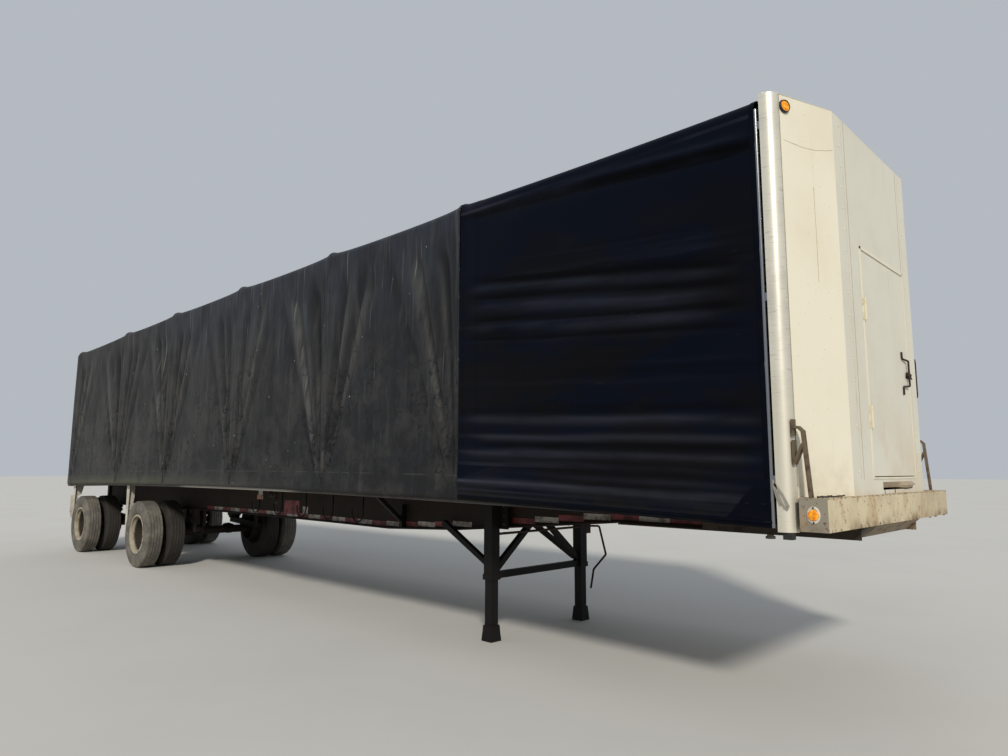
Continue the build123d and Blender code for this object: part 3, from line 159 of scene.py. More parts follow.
@dataclass(frozen=True)
class Layer:
    """One coat, stain or kind of wear over the base, or a painted highlight or painted shade.

    Sizes are in millimetres. Each of the limits is an axis and two places on it in metres, between which the layer
    fades in.
    """

    colour: str
    size: float
    low: float
    high: float
    amount: float = 1.0
    pattern: Pattern = Pattern.CLOUD
    stretch: tuple[float, float, float] = (1.0, 1.0, 1.0)
    roughness: float | None = None
    relief: float = 0.0
    detail: float = 3.0
    seed: float = 0.0
    limits: tuple[tuple[int, float, float], ...] = ()
    carried: str = ""

    def mask(self, tree: bpy.types.NodeTree, place: bpy.types.NodeSocket) -> bpy.types.NodeSocket:
        """Adds the nodes that say where the layer lies.

        Args:
            tree: the material's node tree.
            place: the coordinates in metres.

        Returns:
            The socket that is 0 off the layer and amount on it.
        """
        scale = tuple(1000 / self.size * s for s in self.stretch)
        shift = (self.seed, self.seed * 1.7, -self.seed)
        spot = add(tree, "ShaderNodeMapping", {"Scale": scale, "Location": shift}, {"Vector": place}).outputs[0]
        if self.pattern is Pattern.SPOTS:
            cells = add(tree, "ShaderNodeTexVoronoi", {"Scale": 1.0}, {"Vector": spot}).outputs["Distance"]
            value = add(tree, "ShaderNodeMath", {0: 1.0}, {1: cells}, operation="SUBTRACT").outputs[0]
        elif self.pattern is Pattern.WAVE:
            value = add(tree, "ShaderNodeTexWave", {"Scale": 0.5}, {"Vector": spot}).outputs[1]
        else:
            look = {"Scale": 1.0, "Detail": self.detail, "Roughness": 0.6}
            value = add(tree, "ShaderNodeTexNoise", look, {"Vector": spot}).outputs[0]
        if self.pattern is Pattern.CONTOUR:
            off = add(tree, "ShaderNodeMath", {1: 0.5}, {0: value}, operation="SUBTRACT").outputs[0]
            away = add(tree, "ShaderNodeMath", links={0: off}, operation="ABSOLUTE").outputs[0]
            value = add(tree, "ShaderNodeMath", {0: 1.0}, {1: away}, operation="SUBTRACT").outputs[0]
        axes = add(tree, "ShaderNodeSeparateXYZ", links={0: place}).outputs
        ranges = [(value, self.low, self.high, self.amount), *((axes[a], b, c, 1.0) for a, b, c in self.limits)]
        parts = [
            add(
                tree,
                "ShaderNodeMapRange",
                {"From Min": start, "From Max": end, "To Max": top},
                {"Value": source},
                interpolation_type="SMOOTHSTEP",
            ).outputs[0]
            for source, start, end, top in ranges
        ]
        if self.carried:
            parts.append(add(tree, "ShaderNodeAttribute", attribute_name=self.carried).outputs["Fac"])
        shown = parts[0]
        for part in parts[1:]:
            shown = add(tree, "ShaderNodeMath", links={0: shown, 1: part}, operation="MULTIPLY").outputs[0]
        return shown


@dataclass(frozen=True)
class Finish:
    """A surface: its base, how it reflects, and the layers that lie on it, painted highlights and painted shade among
    them.
    """

    name: str
    base: str
    roughness: float
    slot: str
    metallic: float = 0.0
    layers: tuple[Layer, ...] = ()
    coordinates: Coordinates = Coordinates.OBJECT
    coat: float = 0.0
    specular: float = 0.5
    glow: float = 0.0

    def material(self) -> bpy.types.Material:
        """Makes the Blender material once, and shares it.

        Returns:
            The material.
        """
        found = bpy.data.materials.get(self.name)
        if found:
            return found
        made = bpy.data.materials.new(self.name)
        made.use_nodes = True
        base = made.diffuse_color = linear(self.base)
        tree = made.node_tree
        tree.nodes.clear()
        place = add(tree, "ShaderNodeTexCoord").outputs[self.coordinates.value]
        colour = rough = height = normal = None
        for layer in self.layers:
            mask = layer.mask(tree, place)
            shades = {6: base, 7: linear(layer.colour)}
            colour = add(tree, "ShaderNodeMix", shades, {0: mask, 6: colour}, data_type="RGBA").outputs[2]
            if layer.roughness is not None:
                levels = {2: self.roughness, 3: layer.roughness}
                rough = add(tree, "ShaderNodeMix", levels, {0: mask, 2: rough}, data_type="FLOAT").outputs[0]
            if layer.relief:
                depth = {1: layer.relief, 2: 0.0}
                height = add(tree, "ShaderNodeMath", depth, {0: mask, 2: height}, operation="MULTIPLY_ADD").outputs[0]
        if height:
            normal = add(tree, "ShaderNodeBump", {"Strength": 1.0, "Distance": 0.001}, {"Height": height}).outputs[0]
        values = {
            "Base Color": base,
            "Roughness": self.roughness,
            "Metallic": self.metallic,
            "Coat Weight": self.coat,
            "Specular IOR Level": self.specular,
        }
        if self.glow:
            values |= {"Emission Color": base, "Emission Strength": self.glow}
        links = {"Base Color": colour, "Roughness": rough, "Normal": normal}
        shader = add(tree, "ShaderNodeBsdfPrincipled", values, links)
        add(tree, "ShaderNodeOutputMaterial", links={"Surface": shader.outputs[0]})
        return made


@dataclass(frozen=True)
class PaintWear:
    """How much dirt, rust and scratching a painted steel or aluminium part has picked up."""

    dirt: str = "#6d6252"
    rust: str = "#6b4226"
    rust_low: float = 0.63
    dirt_amount: float = 0.5

    def layers(self) -> tuple[Layer, ...]:
        """Makes the layers of wear.

        Returns:
            The layers, from the undercoat of dirt up to the chips.
        """
        low, dirt = self.rust_low, self.dirt_amount
        return (
            Layer(self.dirt, 420, 0.4, 0.75, dirt, detail=5, roughness=0.7),
            Layer(self.dirt, 36, 0.5, 0.75, dirt * 0.7, stretch=(1, 1, 0.12), seed=3, roughness=0.7),
            Layer(self.rust, 130, low, low + 0.06, 0.9, detail=8, seed=8, roughness=0.85, relief=-0.25),
            Layer("#3c2a1e", 18, low + 0.05, low + 0.1, 0.8, seed=12, detail=4, roughness=0.9, relief=-0.2),
        )


# The limits of what lies on the roof of a cover, from one shoulder to the other along its cloth.
ROOF = ((1, 2.66, 2.8), (1, 5.15, 5.01))

# Vinyl-coated polyester, calendered: chalky after years outdoors, rubbed pale along its folds, with rain tracks.
# Painted highlights lie on the folds' crests and painted shade in their hollows.
OLD_COVER = Finish(
    "faded_vinyl_coated_polyester_painted_shading", "#15161a", 0.5, "grey_cover", coordinates=Coordinates.CLOTH, specular=0.3,
    layers=(
        Layer("#373635", 4000, 0.0, 0.3, 0.9, limits=((0, 3.6, 12.5),), roughness=0.65),
        Layer("#2d2c2c", 1200, 0.44, 0.64, 0.75, limits=((0, 2.0, 8.5),), roughness=0.65, detail=4),
        # The upper third is painted lighter and bluer, as a painted reflection of the sky.
        Layer("#28303e", 2500, 0.0, 0.3, 0.45, limits=((1, 1.5, 2.4), (0, 12.0, 8.0))),
        Layer(
            "#424140", 700, 0.3, 0.7, 0.6, seed=17, detail=3, limits=((0, 2.0, 11.0),), carried="worn", roughness=0.65,
        ),
        Layer("#101114", 420, 0.5, 0.72, 0.7, stretch=(1, 0.3, 1), seed=3, detail=4),
        # Painted shade in the hollows of the folds and beside the bows' feet.
        Layer("#08080b", 900, 0.0, 0.4, 0.95, seed=6, detail=2, carried="hollow"),
        # A painted highlight on the folds' crests and the bows' edges, over real rubbing.
        Layer(
            "#50504f", 300, 0.1, 0.5, 0.85, stretch=(1, 0.5, 1), seed=8, detail=4,
            limits=((0, -0.5, 6.5), (1, 3.0, 1.4)), carried="crest", roughness=0.6,
        ),
        # Rain tracks and rubbing, from a hand's width down to a thread's.
        Layer("#403f3e", 90, 0.52, 0.72, 0.6, stretch=(1, 0.06, 1), seed=5),
        Layer("#0f0f12", 60, 0.52, 0.68, 0.6, stretch=(1, 0.05, 1), seed=9),
        Layer("#484745", 30, 0.55, 0.7, 0.3, stretch=(1, 0.05, 1), seed=31, detail=4),
        Layer("#0d0d10", 24, 0.5, 0.64, 0.5, stretch=(1, 0.08, 1), seed=37, detail=4),
        Layer("#8a8985", 34, 0.62, 0.72, 0.5, stretch=(1, 0.02, 1), seed=13, limits=((1, 0.6, 1.6),)),
        # Grime handled into the lower half, with cracks in the skin and pale flakes.
        Layer("#0c0c0e", 260, 0.42, 0.56, 0.85, seed=23, detail=8, limits=((1, 1.3, 0.3), (0, 9.5, 6.5))),
        Layer("#0f0f12", 520, 0.48, 0.6, 0.5, stretch=(1, 0.6, 1), seed=47, detail=8),
        Layer("#3d3a37", 380, 0.46, 0.62, 0.33, seed=41, detail=8, limits=((1, 2.3, 0.9),)),
        Layer(
            "#08080a", 330, 0.984, 0.997, 0.8, Pattern.CONTOUR, stretch=(1, 0.7, 1), seed=29, detail=3,
            limits=((1, 2.0, 1.0),),
        ),
        Layer("#a3a29e", 210, 0.955, 0.965, 0.6, Pattern.SPOTS, seed=43),
        # Dust that settles on the roof and takes its shine.
        Layer(
            "#403e3b", 600, 0.1, 0.6, 0.85, seed=51, detail=5, limits=ROOF, roughness=0.85,
        ),
        # The weld above the hem, then mould and road spray along the hem towards the rear.
        Layer("#55544f", 300, 0.4, 0.6, 0.3, detail=4, limits=((1, 0.196, 0.201), (1, 0.212, 0.207))),
        Layer("#42413a", 240, 0.3, 0.6, 0.6, stretch=(0.5, 1, 1), seed=2, limits=((1, 0.24, 0.02), (0, 5.0, 9.0))),
        Layer("#4b4d3a", 500, 0.3, 0.5, 0.8, seed=7, limits=((1, 0.18, 0.0), (0, 9.0, 10.5))),
    ),
)
# The same cloth when newer: its plasticised skin is still black-blue, with painted highlights along the folds' crests
# and painted shade in their hollows.
NEW_COVER = Finish(
    "glossy_vinyl_coated_polyester_painted_shading", "#050a16", 0.42, "dark_cover", coordinates=Coordinates.CLOTH, specular=0.05,
    layers=(
        Layer("#080c18", 900, 0.4, 0.7, 0.8, detail=4),
        Layer("#0d0c0d", 500, 0.44, 0.58, 0.85, stretch=(0.5, 1, 1), seed=21, detail=3, limits=((1, 2.7, 1.4),)),
        # Painted shade in the hollows of the folds.
        Layer("#020203", 900, 0.0, 0.5, 0.8, seed=6, detail=2, carried="hollow"),
        # Painted highlights along the folds' crests, in two layers.
        Layer(
            "#2e2f36", 300, 0.2, 0.6, 0.8, stretch=(0.3, 1, 1), seed=18, limits=((1, 1.3, 0.7),), carried="crest",
            roughness=0.4,
        ),
        Layer(
            "#22242f", 520, 0.34, 0.66, 0.75, stretch=(0.3, 1, 1), seed=8, detail=4, limits=((0, 0.35, 0.8),),
            carried="crest", roughness=0.35,
        ),
        Layer("#11121b", 200, 0.55, 0.8, 0.5, stretch=(0.4, 1, 1), seed=5, roughness=0.55),
        Layer("#3a3733", 22, 0.68, 0.78, 0.35, stretch=(0.25, 1, 1), seed=3, detail=4),
        Layer(
            "#1a1b20", 600, 0.1, 0.6, 0.8, seed=51, detail=5, limits=ROOF, roughness=0.75,
        ),
        # Light caught on the edges of the finest creases, near the hem and below the roof.
        Layer(
            "#3c3d48", 700, 0.3, 0.6, 0.7, stretch=(0.3, 1, 1),
            limits=((1, 0.150, 0.158), (1, 0.182, 0.172), (0, 1.0, 2.2)), roughness=0.4,
        ),
        Layer(
            "#2c2d38", 500, 0.35, 0.6, 0.7, stretch=(0.3, 1, 1), seed=12,
            limits=((1, 0.290, 0.300), (1, 0.335, 0.318), (0, 1.2, 2.8)), roughness=0.4,
        ),
        Layer(
            "#34353f", 700, 0.3, 0.6, 0.7, stretch=(0.3, 1, 1), seed=7, limits=((1, 2.500, 2.510), (1, 2.536, 2.524)),
            roughness=0.4,
        ),
        Layer("#1b1a18", 160, 0.4, 0.6, 0.7, seed=2, limits=((1, 0.14, 0.02),), roughness=0.7),
    ),
)
# Two-pack enamel sprayed on flat aluminium sheet: smooth, low gloss, scratched by straps and streaked by rain.
PANEL_PAINT = Finish(
    "sprayed_enamel_on_aluminium_sheet", "#dfd8c4", 0.5, "headboard_paint",
    layers=(
        Layer("#d5ccb4", 700, 0.4, 0.7, 0.6, detail=4),
        Layer("#c6bca2", 60, 0.6, 0.9, 0.35, stretch=(1, 1, 0.06), seed=4, roughness=0.55),
        Layer("#9d8f76", 60, 0.92, 0.94, 0.45, Pattern.SPOTS, seed=7, roughness=0.7),
        Layer("#a18f6d", 190, 0.4, 0.75, 0.45, detail=5, seed=2, limits=((2, 1.72, 1.4),), roughness=0.7),
    ),
)
# The same enamel, older and greyer, on the flat centre of the headboard and on its door.
CENTRE_PAINT = Finish(
    "weathered_enamel_on_aluminium_sheet", "#d5d1c2", 0.52, "headboard_paint",
    layers=(
        Layer("#cbc6b5", 500, 0.4, 0.7, 0.6, detail=4),
        Layer("#b3ad9d", 46, 0.58, 0.85, 0.4, stretch=(1, 1, 0.08), seed=4, roughness=0.55),
        Layer("#9d8f76", 70, 0.92, 0.94, 0.4, Pattern.SPOTS, seed=7, roughness=0.7),
        Layer("#c0a276", 420, 0.4, 0.62, 0.28, detail=5, seed=2, limits=((2, 2.2, 1.55),), roughness=0.6),
    ),
)
# Enamel laid on with a brush: cream, with brown rust that creeps in from the edges and lies thick below. The near end
# face is painted grey-brown as painted shade.
RAIL_PAINT = Finish(
    "brushed_enamel_on_steel", "#cfc1a0", 0.5, "rail_paint",
    layers=(
        Layer("#a3947a", 900, 0.2, 0.6, 0.8, detail=4, limits=((1, 0.1, 1.0),), roughness=0.6),
        Layer("#b09f7f", 260, 0.4, 0.7, 0.6, detail=5),
        Layer("#97805c", 80, 0.56, 0.75, 0.35, stretch=(1, 1, 0.4), seed=6, roughness=0.7),
        # Painted shade on the near end face.
        Layer("#7d776c", 3000, 0.0, 0.3, 0.85, limits=((1, -1.2936, -1.2948),), roughness=0.7),
        Layer("#a98a63", 300, 0.5, 0.66, 0.6, stretch=(1, 1, 0.5), seed=19, detail=6, roughness=0.7),
        Layer("#8b5f3c", 70, 0.6, 0.68, 0.55, seed=27, detail=7, roughness=0.85),
        Layer("#5f3b24", 40, 0.62, 0.68, 0.9, seed=8, detail=6, roughness=0.9, relief=-0.3),
        Layer("#6b4a30", 40, 0.44, 0.6, 0.9, seed=15, detail=5, limits=((2, 1.391, 1.3965),), roughness=0.9),
        Layer("#3e2a1e", 20, 0.7, 0.76, 0.9, seed=2, detail=4, roughness=0.9, relief=-0.3),
        Layer("#6a5238", 160, 0.4, 0.66, 0.7, detail=4, seed=4, limits=((2, 1.29, 1.21),), roughness=0.8),
        Layer("#2b1c12", 50, 0.58, 0.64, 0.8, detail=7, seed=33, limits=((2, 1.24, 1.22),), roughness=0.9),
    ),
)
# Red oxide primer under thin enamel, matt with road film and rusted through in patches. The whole finish is painted
# dark as painted shade under the deck.
FRAME_PAINT = Finish(
    "primer_and_enamel_on_steel", "#28221d", 0.7, "frame_paint", specular=0.15,
    layers=PaintWear(dirt="#16130f", rust="#38231a", rust_low=0.58).layers(),
)
# Dark enamel sprayed on square tube: dull, with a brown tinge where it has worn, and painted near black as painted
# shade under the deck.
LEG_PAINT = Finish(
    "dark_enamel_in_painted_shade_on_steel", "#0f0e0e", 0.6, "frame_paint", specular=0.2,
    layers=PaintWear(dirt="#1a1714", rust="#2f1d0e", rust_low=0.64, dirt_amount=0.5).layers(),
)
# Bent round bar in black dip paint: nearly black, with brown at the bends.
HOOK_PAINT = Finish(
    "dipped_paint_on_round_bar", "#050505", 0.6, "rusty_steel", specular=0.06,
    layers=(Layer("#170f0b", 40, 0.58, 0.7, 0.7, detail=5, roughness=0.85),),
)
# The coupler's rubbed face: enamel worn through to brown scale and old grease, with the painted shadow of the rail
# darkening its near side.
COUPLER_PAINT = Finish(
    "worn_enamel_grease_and_painted_shadow_on_steel", "#8c7a60", 0.6, "frame_paint", specular=0.3,
    layers=(
        *PaintWear(dirt="#6b5e4b", rust="#4d3221", rust_low=0.56, dirt_amount=0.7).layers(),
        # Painted shadow of the rail over the near side.
        Layer("#1d1612", 900, 0.0, 0.4, 0.9, limits=((1, -0.25, -0.6),), detail=4, roughness=0.75),
    ),
)
# White enamel on pressed brackets: greyed by spray from the wheels, brown at the chips.
BRACKET_PAINT = Finish(
    "white_enamel_on_steel", "#c4beb1", 0.55, "frame_paint",
    layers=PaintWear(dirt="#857d70", rust="#6a4a36", rust_low=0.62).layers(),
)
# Cream wheel enamel on pressed steel: pale on the outer flange, and painted near black further in as painted shade.
RIM_PAINT = Finish(
    "wheel_enamel_on_pressed_steel", "#b3a892", 0.55, "rim_paint", specular=0.3,
    layers=(
        Layer("#7d7363", 120, 0.4, 0.7, 0.7, detail=5, roughness=0.7),
        # Painted shade inside the outer flange.
        Layer("#1d1915", 3000, 0.0, 0.3, 0.95, limits=((1, -1.25, -1.19), (1, 1.25, 1.19)), roughness=0.8),
        Layer("#4a2f1f", 70, 0.58, 0.66, 0.8, seed=8, detail=6, roughness=0.85, relief=-0.2),
    ),
)
# Extruded aluminium, left bare and brushed by years of straps: bright, with short marks across it.
POST_METAL = Finish(
    "brushed_extruded_aluminium", "#dcd7c8", 0.4, "post_aluminium", metallic=0.42,
    layers=(
        Layer("#bdb9ae", 380, 0.4, 0.7, 0.6, detail=4, roughness=0.42),
        Layer("#938e84", 26, 0.54, 0.78, 0.65, stretch=(0.3, 0.3, 2.5), seed=4, roughness=0.5),
        Layer("#e2dccb", 12, 0.52, 0.72, 0.5, stretch=(0.12, 0.12, 1.6), seed=6, roughness=0.35),
        Layer("#7d7362", 60, 0.7, 0.76, 0.6, seed=9, detail=5, roughness=0.7),
        Layer("#d2ccbb", 700, 0.35, 0.6, 0.9, seed=1, limits=((2, 2.6, 1.6),), roughness=0.5),
    ),
)
# Extruded rail as it left the die: once bright, now dark with oxide and road film, rubbed bare over a short length.
RAIL_METAL = Finish(
    "mill_finish_aluminium", "#3f3c38", 0.6, "rail_aluminium", metallic=0.35,
    layers=(
        Layer("#2b2825", 200, 0.42, 0.72, 0.7, detail=5, roughness=0.7),
        Layer("#8f8a7f", 3000, 0.0, 0.3, 0.9, limits=((0, 1.7, 1.2), (0, -1.9, -1.4)), roughness=0.5),
        Layer("#5c574e", 40, 0.6, 0.75, 0.5, seed=4, detail=4, roughness=0.7),
    ),
)
# Drawn tube: smooth and bright, scratched round by the cover's eyelets.
PIPE_METAL = Finish(
    "drawn_aluminium_tube", "#8f9194", 0.2, "post_aluminium", metallic=1.0,
    layers=(Layer("#a9a69c", 90, 0.5, 0.75, 0.3, stretch=(1, 1, 0.2), detail=3, roughness=0.3),),
)
# Forged steel left bare: an even brown rust with darker pits.
RUSTY_STEEL = Finish(
    "weathered_forged_steel", "#3b281d", 0.85, "rusty_steel", metallic=0.1,
    layers=(
        Layer("#241a15", 60, 0.4, 0.65, 0.9, detail=6, relief=0.4),
        Layer("#5e3b24", 25, 0.58, 0.72, 0.7, seed=4, detail=6, relief=0.3),
        Layer("#6d665b", 90, 0.68, 0.76, 0.4, seed=9, detail=5),
    ),
)
# Hot-rolled bar, worn bright then rusted again: olive-brown with grey rubs.
LATCH_STEEL = Finish(
    "worn_rolled_steel", "#6b5d49", 0.7, "rusty_steel", metallic=0.3,
    layers=(
        Layer("#4a3526", 50, 0.45, 0.65, 0.9, detail=6, relief=0.3),
        Layer("#8e8268", 40, 0.6, 0.75, 0.6, seed=4, detail=5),
    ),
)
# Cast leaves painted over with the panel: thick soft paint, chipped to rust at the corners.
HINGE_STEEL = Finish(
    "painted_cast_steel", "#d3cbb0", 0.55, "bare_steel",
    layers=(Layer("#7d6344", 18, 0.56, 0.68, 0.8, detail=5, roughness=0.8, relief=-0.2),),
)
# Turned steel under old grease: bright rings between black smears.
BARE_STEEL = Finish(
    "greased_machined_steel", "#6f6a64", 0.45, "bare_steel", metallic=0.8,
    layers=(
        Layer("#3a322b", 60, 0.45, 0.7, 0.9, detail=5, roughness=0.7),
        Layer("#6b4226", 30, 0.62, 0.72, 0.7, seed=6, detail=5, roughness=0.85),
    ),
)
# Iron cast in sand: grainy, dark brown from heat and brake dust.
HUB_IRON = Finish(
    "sand_cast_iron", "#2e2925", 0.75, "hub_iron", specular=0.25,
    layers=(
        Layer("#4a3322", 60, 0.5, 0.72, 0.8, detail=6, relief=0.3),
        Layer("#1a1715", 25, 0.55, 0.72, 0.8, seed=4, detail=4, relief=0.3),
    ),
)
# Moulded rubber that has bloomed grey, with road dust in the grooves. The inner tyres are painted near black as painted
# shade.
TYRE_RUBBER = Finish(
    "moulded_tyre_rubber", "#57544e", 0.8, "tyre_rubber", specular=0.3,
    layers=(
        Layer("#787268", 240, 0.38, 0.68, 0.8, detail=5),
        Layer("#3d3b38", 60, 0.55, 0.75, 0.7, seed=14, detail=5),
        Layer("#8c8578", 40, 0.55, 0.75, 0.6, seed=4, detail=5),
        Layer("#8d8473", 90, 0.45, 0.7, 0.8, seed=7, limits=((2, 0.2, 0.0),)),
        # Painted shade on the inner tyres.
        Layer("#1f1d1b", 3000, 0.0, 0.3, 0.85, limits=((1, -1.03, -0.95), (1, 1.03, 0.95)), roughness=0.85),
    ),
)
# Black rubber, extruded or moulded: matt, with grey dust wiped down its face.
SOFT_RUBBER = Finish(
    "extruded_black_rubber", "#1d1d1e", 0.6, "black_rubber",
    layers=(
        Layer("#3d3b38", 160, 0.42, 0.72, 0.8, detail=5, roughness=0.8),
        Layer("#5a554c", 30, 0.6, 0.8, 0.5, stretch=(1, 1, 0.2), seed=5, detail=4, roughness=0.85),
    ),
)
# Apitong boards, planed and oiled, then greyed by weather and boots.
DECK_WOOD = Finish(
    "weathered_hardwood_boards", "#7c6650", 0.75, "deck_wood",
    layers=(
        Layer("#5b4a3a", 26, 0.42, 0.7, 0.8, stretch=(0.03, 1, 1), detail=6, relief=0.3),
        Layer("#978875", 9, 0.55, 0.75, 0.6, stretch=(0.02, 1, 1), seed=4, detail=4, relief=0.2),
        Layer("#3a3027", 420, 0.55, 0.75, 0.6, seed=8, detail=5),
    ),
)
# Injection-moulded lamp lens: clear orange plastic with a gloss skin, brighter where its prisms catch the light.
AMBER_LENS = Finish(
    "moulded_amber_plastic", "#e58611", 0.25, "amber_lens", coat=0.2, specular=0.25, glow=0.12,
    layers=(Layer("#a34a08", 9, 0.45, 0.75, 0.6, detail=2), Layer("#ffc83c", 14, 0.44, 0.68, 0.85, seed=3)),
)
# The same plastic dulled by dust and sun.
DUSTY_LENS = Finish(
    "dusty_amber_plastic", "#5a3418", 0.6, "amber_lens",
    layers=(Layer("#3a2a1d", 12, 0.4, 0.75, 0.8, detail=4), Layer("#8a4d18", 20, 0.58, 0.75, 0.6, seed=3)),
)
# Injection-moulded in clear red: deep colour under a hard gloss.
RED_LENS = Finish(
    "moulded_red_plastic", "#a31414", 0.22, "red_lens", coat=0.5,
    layers=(Layer("#5c0c0c", 8, 0.4, 0.75, 0.5, detail=2),),
)
# Moulded rim of opaque white plastic: satin, yellowed, with dirt in its corners.
LAMP_BEZEL = Finish(
    "moulded_white_plastic", "#cfcabd", 0.45, "rail_paint",
    layers=(Layer("#8b8474", 14, 0.5, 0.75, 0.6, detail=4, roughness=0.6),),
)
# Moulded black plastic, faded brown by the sun.
DARK_TRIM = Finish(
    "moulded_black_plastic", "#241d18", 0.5, "black_rubber",
    layers=(Layer("#45423d", 30, 0.5, 0.78, 0.5, detail=4, roughness=0.7),),
)
# Glass-bead retroreflective tape: a dull skin with fine hexagon texture, dirty along its edges.
TAPE_RED = Finish(
    "red_reflective_tape", "#7a2322", 0.5, "red_lens",
    layers=(
        Layer("#3f2220", 90, 0.42, 0.62, 0.85, detail=5, roughness=0.7),
        Layer("#98857a", 26, 0.66, 0.76, 0.5, seed=4),
    ),
)
TAPE_WHITE = Finish(
    "white_reflective_tape", "#a69f94", 0.45, "frame_paint",
    layers=(
        Layer("#5f574d", 90, 0.42, 0.62, 0.85, detail=5, roughness=0.7),
        Layer("#3a2f28", 24, 0.64, 0.74, 0.7, seed=4, detail=4),
    ),
)
# Flat woven polyester, 1.2 mm picks drawn three times as coarse so that they show: fuzzy, greyed, with a cross rib.
WEBBING = Finish(
    "woven_polyester_webbing", "#9a958b", 0.85, "black_rubber",
    layers=(
        Layer("#857f75", 160, 0.4, 0.7, 0.7, detail=3),
        Layer("#8e887d", 4, 0.45, 0.6, 0.5, Pattern.WAVE, relief=0.3),
    ),
)
# The same webbing, black with road film.
OLD_WEBBING = Finish(
    "sooty_polyester_webbing", "#1b1917", 0.9, "black_rubber", specular=0.2,
    layers=(Layer("#2d2a27", 30, 0.45, 0.7, 0.7, detail=4, relief=0.3),),
)
# Sheared edge of the doubled cloth: the grey weave shows beside its dark skin.
SEAM_CLOTH = Finish(
    "cut_edge_of_coated_cloth", "#232324", 0.75, "grey_cover", specular=0.2,
    layers=(Layer("#121214", 60, 0.45, 0.7, 0.8, detail=5), Layer("#6d6c68", 40, 0.62, 0.7, 0.6, seed=5, detail=4)),
)
# Two layers of the new cloth welded together: stiffer and duller than the sheet.
PATCH_CLOTH = Finish(
    "doubled_black_vinyl_cloth", "#050812", 0.5, "dark_cover", specular=0.05,
    layers=(Layer("#0a0c15", 80, 0.45, 0.7, 0.8, detail=5),),
)
# Bead of sealant smoothed with a finger: dull, with grime along it.
SEALANT = Finish(
    "grey_joint_sealant", "#9b927e", 0.7, "headboard_paint",
    layers=(Layer("#7d735e", 60, 0.5, 0.7, 0.6, detail=4, relief=0.3),),
)
# The same bead where it has stayed clean.
PALE_SEALANT = Finish(
    "clean_joint_sealant", "#c6beab", 0.7, "headboard_paint",
    layers=(Layer("#a89f8a", 60, 0.5, 0.7, 0.6, detail=4, relief=0.3),),
)
# Grime that a slack strap has rubbed into the enamel.
STRAP_MARK = Finish(
    "rubbed_in_strap_mark", "#b5ab92", 0.7, "headboard_paint",
    layers=(Layer("#94896d", 60, 0.45, 0.65, 0.8, detail=4),),
)
# Thin sheet cut and bent by hand: dull where it is creased, old paint flaking off in brown scraps.
BENT_SHEET = Finish(
    "bent_aluminium_sheet_with_old_paint", "#a3927a", 0.55, "headboard_paint",
    layers=(Layer("#93795a", 46, 0.45, 0.7, 0.8, detail=5), Layer("#5b4733", 18, 0.62, 0.7, 0.8, seed=4, detail=4)),
)

CARRIED_OVER = {
    PANEL_PAINT: ("headboard_sides",),
    CENTRE_PAINT: ("access_door", "headboard_front"),
    RAIL_PAINT: ("front_rail", "rear_sill"),
    FRAME_PAINT: ("main_beams", "crossmembers", "rear_bumper", "air_tanks", "axles", "spring_hangers"),
    COUPLER_PAINT: ("coupler_plate",),
    LEG_PAINT: ("leg_housings", "leg_braces", "leg_feet", "side_struts", "trailing_arms", "brake_chambers"),
    HOOK_PAINT: ("rail_hooks",),
    BRACKET_PAINT: ("flap_arms",),
    RIM_PAINT: tuple(f"wheel_{wheel}_rims" for wheel, _, _ in WHEELS),
    HUB_IRON: tuple(f"wheel_{wheel}_hub" for wheel, _, _ in WHEELS),
    POST_METAL: ("corner_posts", "headboard_cap"),
    RAIL_METAL: ("side_rails", "slide_tracks", "bow_posts", "bow_roofs", "bow_carriages", "side_lamp_bracket"),
    PIPE_METAL: ("tension_pipes",),
    RUSTY_STEEL: ("strap_winch", "leg_crank", "door_handle"),
    LATCH_STEEL: ("cover_latches",),
    HINGE_STEEL: ("hinge_door_leaves", "hinge_frame_leaves"),
    BARE_STEEL: ("kingpin",),
    SOFT_RUBBER: ("air_springs", "mud_flaps", "post_buffers"),
    DECK_WOOD: ("deck_floor",),
    DUSTY_LENS: ("side_lamp",),
    RED_LENS: ("tail_lamps",),
}


# Pieces


def placed(name: str, data: bpy.types.ID) -> bpy.types.Object:
    """Adds an object to the scene.

    Args:
        name: the object's name.
        data: its mesh, light or camera.

    Returns:
        The new object.
    """
    made = bpy.data.objects.new(name, data)
    bpy.context.scene.collection.objects.link(made)
    return made


def skin(rows: int, columns: int) -> list:
    """The faces of a grid of points that are numbered row by row."""
    quad = (0, 1, columns + 1, columns)
    return [tuple(i * columns + j + k for k in quad) for i in range(rows - 1) for j in range(columns - 1)]


def piece(
    name: str, vertices: np.ndarray, faces: list, finish: Finish, body: str = "trailer", smooth: bool = True,
    recalculate: bool = False,
) -> bpy.types.Object:
    """Makes a mesh piece that rides on a body.

    Args:
        name: the piece's name.
        vertices: its points in the shared frame, in metres.
        faces: its faces, as tuples of point numbers.
        finish: what it is made of.
        body: the CAD body that carries it.
        smooth: whether its faces are shaded as one surface.
        recalculate: whether its doubles are merged and its faces turned outwards first.

    Returns:
        The new object.
    """
    mesh = bpy.data.meshes.new(name)
    mesh.from_pydata([tuple(map(float, v)) for v in vertices], [], [tuple(map(int, f)) for f in faces])
    if recalculate:
        work = bmesh.new()
        work.from_mesh(mesh)
        bmesh.ops.remove_doubles(work, verts=work.verts, dist=1e-5)
        bmesh.ops.recalc_face_normals(work, faces=work.faces)
        work.to_mesh(mesh)
        work.free()
    mesh.validate()
    mesh.shade_smooth() if smooth else mesh.shade_flat()
    mesh.materials.append(finish.material())
    made = placed(name, mesh)
    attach(made, body)
    return made


